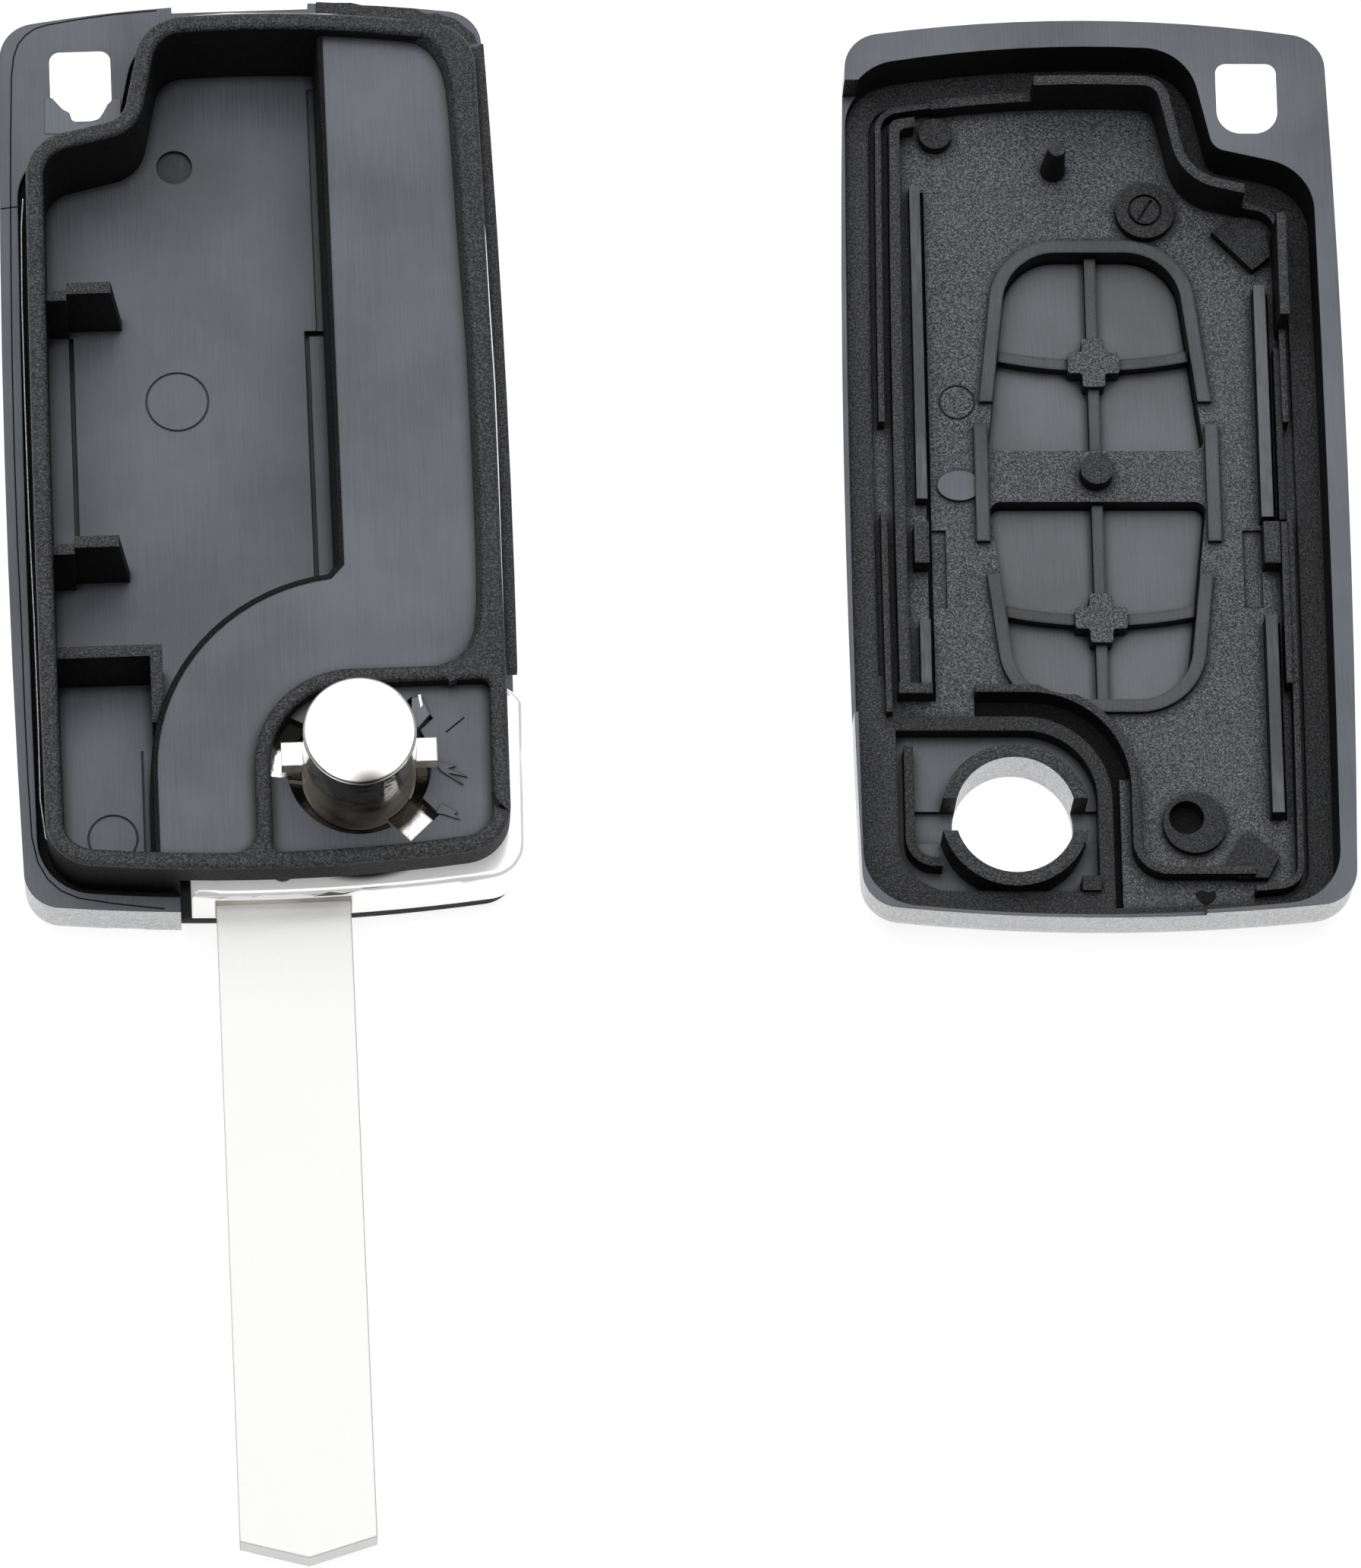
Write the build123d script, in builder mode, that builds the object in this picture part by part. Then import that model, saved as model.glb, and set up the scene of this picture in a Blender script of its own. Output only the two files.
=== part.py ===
"""Shell of a folding car key, opened: rear case with its blade, and the front cover beside it.

Millimetres, +Z up. The origin is where the blade's hinge axis meets the surface that the case
lies on, +Y runs along the case away from the blade. Both halves are drawn in the frame of the
closed shell, and the cover is then laid turned over, at the place that cover_frame gives.
"""

import os
from math import cos, radians, sin, tan

from build123d import *

# Outline of the closed shell, measured from the hinge axis
shell_left = 25.3
shell_right = 12.15
shell_top = 62.5
shell_bottom = 8.95
side_bow = 0.6  # how far the long sides stand out at mid length
wall_left_bow = 0.2  # the same for the inner wall
wall_right_bow = 0.3
top_bow = 1.5  # the same for the keyring end
bottom_bow = 1.1  # the same for the blade end
corner_radius = 2.8
chin = 1.0  # how far the case stands out below the cover, beside the blade holder

# Heights above the surface, in the closed shell
closed_height = 13.6
parting_height = 5.9
back_skin = 1.3
front_skin = 2.4
wall_top = 10.5
roof_top = 9.0
roof_thickness = 1.3
case_flank = 2.0  # rounding of the case's back edge
cover_straight = 3.4  # height of the cover's side above the parting line, before it curves in
cover_shoulder = 2.6  # height of the first, steep part of that curve
cover_shoulder_inset = 0.7
cover_face_inset = 2.5

# Inner wall of the case, which the cover fits over
wall_thickness = 1.3
wall_round = 0.4
rim_left = 2.1
rim_right = 0.95
rim_top = 2.95
rim_bottom = 0.8
wall_corner = 3.6
least_corner = 0.5  # corner radius that is left however far the wall's outline is drawn in
rim_groove_width = 0.7
rim_groove_depth = 1.3
half_gap = 0.1  # free height between the two halves where they don't rest
cover_gap = 0.55  # free width round the inner wall
rib_gap = 0.3  # free width between the inner wall and the cover's ribs

# Keyring corner
ring_step_x = 9.7
ring_step_y = 10.9
ring_slope = 1.7
ring_lean = 1.7
ring_inner_radius = 1.9
ring_hole_width = 4.6
ring_hole_length = 5.7
ring_hole_x = 18.75
ring_hole_y = 56.1
ring_hole_corner = 0.8
ring_hole_round = 1.8
pry_notch_left = 11.7
pry_notch_right = 1.4
pry_notch_depth = 0.6

# Blade chamber and its roof
chamber_clearance = 1.45  # from the holder's band to the chamber's round end
chamber_wall = 0.95
chamber_side = 0.3  # left edge of the chamber beside the folded blade
tip_gap = 0.3  # between the folded blade's end and the chamber
chamber_fillet = 1.2
slot_left = 13.4  # left end of the opening at the blade end
side_opening_low = 7.1  # where the long side opening's upper lip begins

# Hooks, ribs and marks in the bay, from the case's wall
rib_width = 0.9
hook_stem_width = 0.8
hook_stem = 1.6  # length of a hook's stem, between the wall and its block
hook_block = 3.3
hook_shift = 0.5  # how far the block stands back from its stem
hook_slant = 0.7
upper_hook_y = 37.5
lower_hook_y = 17.3
angle_rib_y = 9.6
angle_rib_length = 7.8
angle_rib_low = 4.4
angle_rib_top = 7.7
groove_width = 0.35
groove_depth = 0.8
side_groove = 1.6  # from the wall to the groove between the two hooks
strip_width = 1.9  # sunk strip beside the blade chamber
strip_depth = 0.25
strip_low = 15.8
strip_top = 37.5
seam_step = 0.12  # depth of the faint lines that mould inserts leave
seam_width = 0.15
long_seam_width = 1.0
short_seam_x = 15.9
sunk_dot = (-11.9, 51.2)
sunk_dot_radius = 1.35
sunk_dot_depth = 0.35
upper_ring_mark = (-12.3, 32.1)
upper_ring_radius = 2.4
lower_ring_mark = (-18.2, -2.4)
lower_ring_radius = 1.9

# Pocket round the hinge
pocket_left = 6.5
pocket_top = 6.0
pocket_corner = 6.2
divider_thickness = 1.15
divider_fillet = 1.8
pocket_fillet = 0.6

# Blade holder and its hinge
running_gap = 0.08
hub_radius = 9.2
neck_radius = 5.2
neck_gap = 0.1
neck_drop = 2.2  # top of the hub's neck below the roof's
holder_left = 12.6
holder_height = 4.9
holder_floor = 1.0
holder_gap = 0.1  # between the holder and the case's floor, and below the roof
holder_bar = 2.9
holder_round = 0.5
holder_stand_out = 0.4  # how far the band stands out beyond the shell's side
band_corner = 2.5
band_width = 3.4
band_end = 7.0
pivot_boss_radius = 2.5
pivot_boss_height = 0.9
hub_lug_angles = (172, 313)
hub_lug_reach = 6.5
hub_lug_width = 2.3
hub_notch_gap = 0.35
hub_notch_turn = -20  # the left lug's notch is wider by this angle
spare_notch_angle = 42
root_recess = 0.15  # recess in the holder's front face, above the blade
root_lip = 0.8  # what the recess leaves below the holder's top

# Release button
button_radius = 4.15
button_top = 16.8
button_length = 11.6
button_wall = 1.0
button_round = 0.3
lug_reach = 5.7
lug_width = 1.8
lug_height = 1.5
lug_drop = 4.7  # from the button's face to the top of its lugs

# Spring under the button
spring_wire = 0.7
spring_radius = 2.3
spring_turns = 6
spring_wire_sides = 6

# Blade
blade_width = 9.9
blade_offset = 5.85
blade_length = 48.0
blade_thickness = 2.4
blade_rise = 0.3
blade_tang = 3.6
blade_seat_gap = 0.05
blade_tip_bevel = 1.4
pin_radius = 0.8
pin_setback = 1.9  # pin axis behind the holder's front face

# Cover: bearing ring round the button
button_hole_radius = 4.5
ring_width = 1.05
ring_reach = 4.5
lug_slot_width = 2.5
lug_slot_reach = 6.2
pocket_skin = 1.4  # the cover's skin round the button hole
pocket_wall = 1.1
pocket_wall_left = 7.35
pocket_wall_top = 8.2
pocket_wall_corner = 6.5
pocket_floor_right = 8.65
pocket_floor_low = 5.5
pocket_floor_corner = 4.0
lug_track = 7.3  # how far the lugs' sunk tracks reach from the hole's axis
lug_track_depth = 0.5
pocket_block = (-5.6, -5.0)
pocket_block_width = 1.4
pocket_block_length = 1.1
pocket_block_reach = 3.4

# Cover: trench for the case's divider, and the rib along it
trench_left = 8.7
trench_top = 9.8
trench_corner = 7.4
trench_low = 4.5
trench_flare = 2.6
trench_floor = 1.5
trench_narrow = 0.6  # its width below the bend
trench_narrow_top = 3.4
trench_rib = 0.6
trench_rib_reach = 4.0
trench_rib_left = 17.7
trench_rib_right = 2.7
angle_left = 7.4  # angled rib in the hinge pocket
angle_right = 8.1
angle_top = 5.8
angle_low = 3.6
angle_foot = 5.4
angle_corner = 2.2
angle_reach = 3.2

# Cover: ribs of the bay, in the closed shell
rib_thickness = 0.75
bay_rib_reach = 7.3
bay_rib_left = 18.4
bay_rib_right = 2.7
bay_rib_low = 48.2
roof_rib_reach = 4.2
roof_rib_right = 4.9
roof_rib_low = 55.0
# Thin rib that follows the case's wall round the bay, broken at mid length
loop_gap = 0.45
loop_width = 0.45
loop_reach = 4.1
loop_break_low = 24.2
loop_break_top = 31.3
bay_corner_x = 9.45  # filled corner of the bay, between this rib and the hinge pocket's wall
bay_corner_radius = 3.2
# Rails: gap to the case's wall, width, low end, top end, reach
left_rails = (
    (1.9, 0.9, 23.6, 42.3, 4.3),
    (1.9, 0.9, 0.2, 15.8, 4.3),
    (0.9, 0.5, 23.6, 37.4, 3.7),
    (0.45, 0.7, 38.8, 47.0, 7.2),
    (0.9, 0.5, 10.4, 23.2, 4.3),
)
right_rails = (
    (3.2, 0.8, 25.2, 50.6, 3.9),
    (3.2, 0.8, 9.6, 15.6, 3.9),
)
long_rail_gap = 1.5
long_rail_width = 0.8
long_rail_reach = 4.3
long_rail_end = 6.2
rail_foot_low = 9.6
rail_foot_width = 0.8
# Narrow grooves in the floor along the rails: gap to the case's wall, low end, top end
rail_groove_width = 0.35
rail_groove_depth = 0.8
left_grooves = (
    (1.55, 23.6, 42.3),
    (1.55, 0.2, 15.8),
)
right_grooves = (
    (4.0, 9.6, 50.6),
)
clip_low = 19.9
clip_top = 23.2
clip_reach = 4.4
left_clip_near = 1.5
left_clip_width = 1.2
right_clip_near = 2.9
right_clip_width = 1.1
clip_pad_low = 17.0
clip_pad_width = 1.4
clip_pad_depth = 0.3

# Cover: pads, pegs and bosses, in the closed shell
corner_pad = (4.6, 55.0)
corner_pad_radius = 1.25
corner_pad_reach = 3.5
peg_place = (-4.35, 52.4)
peg_radius = 0.95
peg_reach = 6.8
peg_taper = 4
ring_boss = (-11.2, 48.8)
ring_boss_radius = 2.25
ring_boss_reach = 3.3
ring_boss_mark = 1.3
ring_boss_groove = 0.2
ring_boss_depth = 0.4
ring_boss_slit = 2.0
ring_boss_turn = 122
post_place = (-6.9, 27.6)
post_radius = 1.25
post_reach = 4.0
screw_boss = (-13.4, -0.2)
screw_boss_radius = 2.35
screw_boss_reach = 3.1
screw_hole = (-12.8, 0.2)
screw_hole_radius = 1.3
screw_hole_floor = 1.4
round_mark = (3.4, 33.5)
round_mark_radius = 1.4
oval_pad = (3.4, 26.7)
oval_pad_length = 1.65
oval_pad_height = 1.2
oval_pad_rise = 0.3
upper_gusset = ((-16.2, 47.0), (-17.5, 47.9), (-20.3, 47.2), (-20.6, 45.0), (-19.2, 43.9))
lower_gusset = ((-15.6, -3.6), (-17.2, -0.9), (-19.6, -2.9), (-18.7, -4.6), (-16.4, -4.6))
gusset_reach = 3.4

# Cover: where its rim is cut back for the roof's edge and for the blade holder
side_cut_low = 7.1
side_cut_top = 57.6
holder_relief = 0.5
holder_relief_left = 13.6
holder_relief_top = 9.5

# Cover: lips round the windows
lip_width = 1.0
lip_rise = 0.5
lip_break_high = 33.4
lip_side_high = 31.6
lip_side_low = 22.2
lip_break_low = 19.6

# Keys
key_centre_x = 7.0
window_width_low = 16.4
window_width_top = 12.6
upper_window_low = 29.6
upper_window_top = 45.5
lower_window_top = 25.5
lower_window_low = 9.6
window_corner_outer = 4.2
window_corner_inner = 0.8
window_step = 0.3  # the window is smaller by this at the cover's face
window_step_height = 0.4
key_gap = 0.1
key_lift = 0.1
key_plate = 0.7
key_rib = 0.85
key_rib_height = 1.1
key_rib_bend = 35.0  # radius that the cross rib is curved to
key_plus_reach = 1.95
key_plus_width = 1.7
key_plus_height = 1.7
key_plus_round = 0.25
upper_plus_y = 36.7
lower_plus_y = 16.2

# Where the cover lies, turned over beside the case
cover_apart = 24.14  # between the two halves
cover_place_y = -4.04
cover_turn = 2.06

# Worked out from the above
cover_place_x = 2 * shell_right + cover_apart
chamber_radius = shell_right + holder_stand_out + chamber_clearance
roof_under = roof_top - roof_thickness
chamber_end = shell_bottom + blade_length + tip_gap
holder_low = back_skin + holder_gap
holder_top = holder_low + holder_height
bore_radius = button_radius + running_gap
bore_floor = holder_low + holder_floor
lug_top = button_top - lug_drop
lug_low = lug_top - lug_height
blade_low = holder_low + blade_rise
wall_left_x = rim_left - shell_left
wall_right_x = shell_right - rim_right
inner_left_x = wall_left_x + wall_thickness
inner_right_x = wall_right_x - wall_thickness
inner_low_y = wall_thickness + rim_bottom - shell_bottom
platform_x = chamber_side - chamber_wall
rail_foot_reach = right_grooves[0][0] - long_rail_gap  # from the long rail to its neighbour
wall_core = wall_thickness / 2  # inset of the wall's middle, where what joins it ends
ledge_height = wall_top + half_gap
cover_floor = closed_height - front_skin
pocket_floor = closed_height - pocket_skin
window_step_low = closed_height - window_step_height
far = 2 * (shell_top + shell_bottom)  # reach of cutting shapes that run past the shell
cover_frame = Plane(
    origin=(cover_place_x, cover_place_y, closed_height),
    x_dir=(-cos(radians(cover_turn)), sin(radians(cover_turn)), 0),
    z_dir=(0, 0, -1),
)


def cover_plane(height):
    """Plane at a height of the closed shell, on the cover as it lies turned over."""
    return cover_frame.offset(height)


def shell_profile(inset=0.0, low=0.0):
    """The shell's outline, drawn in from all sides, and let out at the blade end."""
    left = inset - shell_left
    right = shell_right - inset
    top = shell_top - inset
    bottom = inset - shell_bottom - low
    middle_x = (left + right) / 2
    middle_y = (shell_top - shell_bottom) / 2
    high = top - top_bow
    deep = bottom + bottom_bow
    with BuildSketch() as profile:
        with BuildLine():
            ThreePointArc((left + side_bow, high), (left, middle_y), (left + side_bow, deep))
            ThreePointArc((left + side_bow, deep), (middle_x, bottom), (right - side_bow, deep))
            ThreePointArc((right - side_bow, deep), (right, middle_y), (right - side_bow, high))
            ThreePointArc((right - side_bow, high), (middle_x, top), (left + side_bow, high))
        make_face()
        fillet(profile.vertices(), corner_radius)
    return profile.sketch


def wall_loop(inset=0.0):
    """Outline of the case's inner wall, which steps round the keyring corner."""
    left = wall_left_x + wall_left_bow
    right = wall_right_x - wall_right_bow
    top = shell_top - rim_top
    bottom = rim_bottom - shell_bottom
    middle_x = (left + right) / 2
    middle_y = (top + bottom) / 2
    low_left = (left, bottom + bottom_bow)
    low_right = (right, bottom + bottom_bow)
    top_right = (right, top - top_bow)
    step_side = (left, shell_top - ring_step_y - ring_slope)
    step_inside = (ring_step_x - shell_left, shell_top - ring_step_y)
    step_top = (ring_step_x + ring_lean - shell_left, top)
    with BuildSketch() as loop:
        with BuildLine():
            Polyline(step_side, step_inside, step_top)
            ThreePointArc(step_top, (0, top), top_right)
            ThreePointArc(top_right, (wall_right_x, middle_y), low_right)
            ThreePointArc(low_right, (middle_x, bottom), low_left)
            ThreePointArc(low_left, (wall_left_x, middle_y), step_side)
        make_face()
        if inset:
            offset(amount=-inset, kind=Kind.INTERSECTION)
        fillet(loop.vertices().sort_by_distance(step_inside)[0], ring_inner_radius + inset)
        for corner in (step_side, step_top, top_right, low_right, low_left):
            radius = max(wall_corner - inset, least_corner)
            fillet(loop.vertices().sort_by_distance(corner)[0], radius)
    return loop.sketch


def corner_profile(left, top, radius):
    """What lies to the right of and below a rounded corner, run on past the shell."""
    with BuildSketch() as region:
        with Locations((-left, top)):
            Rectangle(far, far, align=(Align.MIN, Align.MAX))
        fillet(region.vertices().sort_by_distance((-left, top))[0], radius)
    return region.sketch


def pocket_profile(grow=0.0):
    """The case's pocket round the hinge."""
    return corner_profile(pocket_left + grow, pocket_top + grow, pocket_corner + grow)


def cover_pocket(inset=0.0):
    """The cover's pocket round the button hole, up to the outside of its wall."""
    left = pocket_wall_left - inset
    return corner_profile(left, pocket_wall_top - inset, pocket_wall_corner - inset)


def pocket_bounds():
    """Right and lower edge of the cover's pocket floor, with the corner between them."""
    with BuildSketch() as bounds:
        with Locations((pocket_floor_right, -pocket_floor_low)):
            Rectangle(far, far, align=(Align.MAX, Align.MIN))
        corner = (pocket_floor_right, -pocket_floor_low)
        fillet(bounds.vertices().sort_by_distance(corner)[0], pocket_floor_corner)
    return bounds.sketch


def trench_profile(grow=0.0):
    """Outer edge of the trench for the case's divider, which flares out at its foot."""
    foot = (-trench_left - grow, grow - trench_low)
    with BuildSketch() as trench:
        add(corner_profile(trench_left + grow, trench_top + grow, trench_corner + grow))
        with Locations((0, grow - trench_low)):
            Rectangle(2 * far, far, align=(Align.CENTER, Align.MAX))
        fillet(trench.vertices().sort_by_distance(foot)[0], trench_flare - grow)
        with Locations((-trench_rib_left, trench_top + far / 2)):
            Rectangle(
                trench_rib_left + trench_rib_right,
                2 * far,
                align=(Align.MIN, Align.MAX),
                mode=Mode.INTERSECT,
            )
    return trench.sketch


def roof_profile():
    """The roof in plan, with the wall that it stands on, run out to the right and below."""
    reach = chamber_radius + chamber_wall
    side = chamber_side - chamber_wall
    with BuildSketch() as roof:
        Circle(reach)
        with Locations((side, 0)):
            Rectangle(far, far, align=(Align.MIN, Align.MIN))
        with Locations((-reach, 0)):
            Rectangle(far, far, align=(Align.MIN, Align.MAX))
        fillet(roof.vertices().sort_by_distance((side, reach))[0], chamber_fillet)
    return roof.sketch


def chamber_profile():
    """Blade chamber in plan: the hub's circle, the folded blade's place and the end slot."""
    with BuildSketch() as chamber:
        Circle(chamber_radius)
        with BuildLine():
            Polyline(
                (chamber_side, 0),
                (chamber_side, chamber_end),
                (blade_offset, chamber_end + blade_tip_bevel),
                (2 * blade_offset - chamber_side, chamber_end),
                (far, chamber_end),
                (far, 0),
                close=True,
            )
        make_face()
        with Locations((-slot_left, holder_bar - shell_bottom)):
            Rectangle(far, far, align=(Align.MIN, Align.MAX))
    return chamber.sketch


def ring_hole():
    """Keyring hole, straight across the top and round below."""
    with BuildSketch() as hole:
        with Locations((-ring_hole_x, ring_hole_y)):
            Rectangle(ring_hole_width, ring_hole_length)
        fillet(hole.vertices().group_by(Axis.Y)[0], ring_hole_round)
        fillet(hole.vertices().group_by(Axis.Y)[-1], ring_hole_corner)
    return hole.sketch


def window_profile(low, high, wide_at_top, inset=0.0):
    """Key window: straight beside its neighbour, narrower and rounded at its far end."""
    width_low = window_width_top
    width_high = window_width_low
    if not wide_at_top:
        width_low, width_high = width_high, width_low
    with BuildSketch() as window:
        with BuildLine():
            Polyline(
                (-key_centre_x - width_low / 2, low),
                (-key_centre_x + width_low / 2, low),
                (-key_centre_x + width_high / 2, high),
                (-key_centre_x - width_high / 2, high),
                close=True,
            )
        make_face()
        if inset:
            offset(amount=-inset, kind=Kind.INTERSECTION)
        outer, inner = (0, -1) if wide_at_top else (-1, 0)
        fillet(window.vertices().group_by(Axis.Y)[outer], window_corner_outer - inset)
        fillet(window.vertices().group_by(Axis.Y)[inner], window_corner_inner - inset)
    return window.sketch


def hub_lugs(grow=0.0):
    """The hub's lugs in plan, or with grow the notches that they enter by."""
    with BuildSketch() as lugs:
        for angle in hub_lug_angles:
            with Locations(Rotation(0, 0, angle)):
                Rectangle(
                    hub_lug_reach + grow,
                    hub_lug_width + 2 * grow,
                    align=(Align.MIN, Align.CENTER),
                )
    return lugs.sketch


# Rear case
with BuildPart() as rear_case:
    with BuildSketch():
        add(shell_profile(low=chin))
    extrude(amount=parting_height)
    fillet(rear_case.faces().sort_by(Axis.Z)[0].edges(), case_flank)
    with BuildSketch(Plane.XY.offset(parting_height - rim_groove_depth)):
        add(wall_loop(-rim_groove_width))
    extrude(amount=rim_groove_depth, mode=Mode.SUBTRACT)
    with BuildSketch(Plane.XY.offset(back_skin)):
        add(wall_loop(wall_thickness))
    extrude(amount=parting_height, mode=Mode.SUBTRACT)
    # Inner wall and the divider round the hinge pocket
    with BuildSketch(Plane.XY.offset(roof_under)) as top_walls:
        add(wall_loop())
        add(wall_loop(wall_thickness), mode=Mode.SUBTRACT)
        with BuildSketch(mode=Mode.PRIVATE) as divider:
            add(pocket_profile(divider_thickness))
            add(pocket_profile(), mode=Mode.SUBTRACT)
            add(wall_loop(wall_core), mode=Mode.INTERSECT)
        add(divider.sketch)
        for corner, radius in (
            ((inner_right_x, pocket_top), pocket_fillet),
            ((inner_right_x, pocket_top + divider_thickness), divider_fillet),
            ((-pocket_left, inner_low_y), pocket_fillet),
            ((-pocket_left - divider_thickness, inner_low_y), divider_fillet),
        ):
            fillet(top_walls.vertices().sort_by_distance(corner)[0], radius)
    extrude(amount=wall_top - roof_under)
    fillet(rear_case.faces().sort_by(Axis.Z)[-1].edges(), wall_round)
    with BuildSketch(Plane.XY.offset(back_skin)):
        add(wall_loop())
        add(wall_loop(wall_thickness), mode=Mode.SUBTRACT)
    extrude(amount=roof_under - back_skin)
    # Roof over the blade chamber, and its edge along the open side
    with BuildSketch(Plane.XY.offset(back_skin)):
        add(roof_profile())
        add(wall_loop(wall_core), mode=Mode.INTERSECT)
    extrude(amount=roof_top - back_skin)
    with BuildSketch(Plane.XY.offset(roof_under)):
        with Locations((0, side_opening_low)):
            Rectangle(far, chamber_end - side_opening_low, align=(Align.MIN, Align.MIN))
        add(shell_profile(), mode=Mode.INTERSECT)
        add(wall_loop(wall_core), mode=Mode.SUBTRACT)
    extrude(amount=roof_thickness)
    # Blade chamber, open at the side and at the blade end
    with BuildSketch(Plane.XY.offset(back_skin)):
        add(chamber_profile())
    extrude(amount=roof_under - back_skin, mode=Mode.SUBTRACT)
    with BuildSketch():
        with Locations((-slot_left, holder_bar - shell_bottom)):
            Rectangle(far, far, align=(Align.MIN, Align.MAX))
        add(shell_profile(), mode=Mode.SUBTRACT)
    extrude(amount=roof_under, mode=Mode.SUBTRACT)
    # Opening for the hub, with the notches that its lugs enter by
    with BuildSketch(Plane.XY.offset(roof_under)):
        Circle(neck_radius + neck_gap)
        add(hub_lugs(hub_notch_gap))
        for angle in (hub_lug_angles[0] + hub_notch_turn, spare_notch_angle):
            with Locations(Rotation(0, 0, angle)):
                Rectangle(hub_lug_reach, hub_lug_width, align=(Align.MIN, Align.CENTER))
        add(pocket_profile(), mode=Mode.INTERSECT)
    extrude(amount=roof_thickness, mode=Mode.SUBTRACT)
    with BuildSketch(Plane.XY.offset(back_skin)):
        Circle(pivot_boss_radius)
    extrude(amount=pivot_boss_height)
    with BuildSketch():
        add(ring_hole())
    extrude(amount=parting_height, mode=Mode.SUBTRACT)
    with BuildSketch():
        with Locations((-pry_notch_left, shell_top - pry_notch_depth)):
            Rectangle(pry_notch_left - pry_notch_right, far, align=(Align.MIN, Align.MIN))
    extrude(amount=parting_height, mode=Mode.SUBTRACT)
    # Two hooks and an angled rib in the bay
    block_left = inner_left_x + hook_stem
    for hook_y in (upper_hook_y, lower_hook_y):
        with BuildSketch(Plane.XY.offset(back_skin)):
            with Locations((block_left, hook_y)):
                Rectangle(hook_stem + wall_core, hook_stem_width, align=(Align.MAX, Align.MIN))
        extrude(amount=roof_top - back_skin)
        block_origin = (block_left, hook_y + hook_shift, back_skin)
        with BuildSketch(Plane(origin=block_origin, x_dir=(1, 0, 0), z_dir=(0, -1, 0))):
            with BuildLine():
                Polyline(
                    (0, 0),
                    (hook_block + hook_slant, 0),
                    (hook_block, roof_top - back_skin),
                    (0, roof_top - back_skin),
                    close=True,
                )
            make_face()
        extrude(amount=-rib_width)
    with BuildSketch(Plane.XY.offset(back_skin)):
        with Locations((inner_left_x + angle_rib_length, angle_rib_y + rib_width)):
            Rectangle(angle_rib_length + wall_core, rib_width, align=(Align.MAX, Align.MAX))
            Rectangle(
                rib_width,
                angle_rib_y + rib_width - angle_rib_low,
                align=(Align.MAX, Align.MAX),
            )
    extrude(amount=angle_rib_top - back_skin)
    # Sunk strip beside the blade chamber, and grooves along it and between the hooks
    strip_length = strip_top - strip_low
    between_low = lower_hook_y + hook_shift + rib_width
    with BuildSketch(Plane.XY.offset(back_skin - groove_depth)):
        with Locations((platform_x, strip_low)):
            Rectangle(strip_width, strip_length, align=(Align.MAX, Align.MIN))
            Rectangle(
                strip_width - groove_width,
                strip_length - groove_width,
                align=(Align.MAX, Align.MIN),
                mode=Mode.SUBTRACT,
            )
        with Locations((inner_left_x + side_groove, between_low)):
            Rectangle(groove_width, upper_hook_y - between_low, align=(Align.MIN, Align.MIN))
    extrude(amount=groove_depth, mode=Mode.SUBTRACT)
    with BuildSketch(Plane.XY.offset(back_skin - strip_depth)):
        with Locations((platform_x, strip_low)):
            Rectangle(strip_width, strip_length, align=(Align.MAX, Align.MIN))
    extrude(amount=strip_depth, mode=Mode.SUBTRACT)
    # Marks of ejectors and mould inserts in the floor
    with BuildSketch(Plane.XY.offset(back_skin - sunk_dot_depth)):
        with Locations(sunk_dot):
            Circle(sunk_dot_radius)
    extrude(amount=sunk_dot_depth, mode=Mode.SUBTRACT)
    with BuildSketch(Plane.XY.offset(back_skin - seam_step)):
        for place, radius in (
            (upper_ring_mark, upper_ring_radius),
            (lower_ring_mark, lower_ring_radius),
        ):
            with Locations(place):
                Circle(radius)
                Circle(radius - seam_width, mode=Mode.SUBTRACT)
        with Locations((platform_x, strip_top)):
            Rectangle(long_seam_width, chamber_end - strip_top, align=(Align.MAX, Align.MIN))
        with Locations((-short_seam_x, angle_rib_low)):
            Rectangle(seam_width, angle_rib_low - inner_low_y, align=(Align.MIN, Align.MAX))
    extrude(amount=seam_step, mode=Mode.SUBTRACT)
rear_case.part.label = "rear_case"

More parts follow.
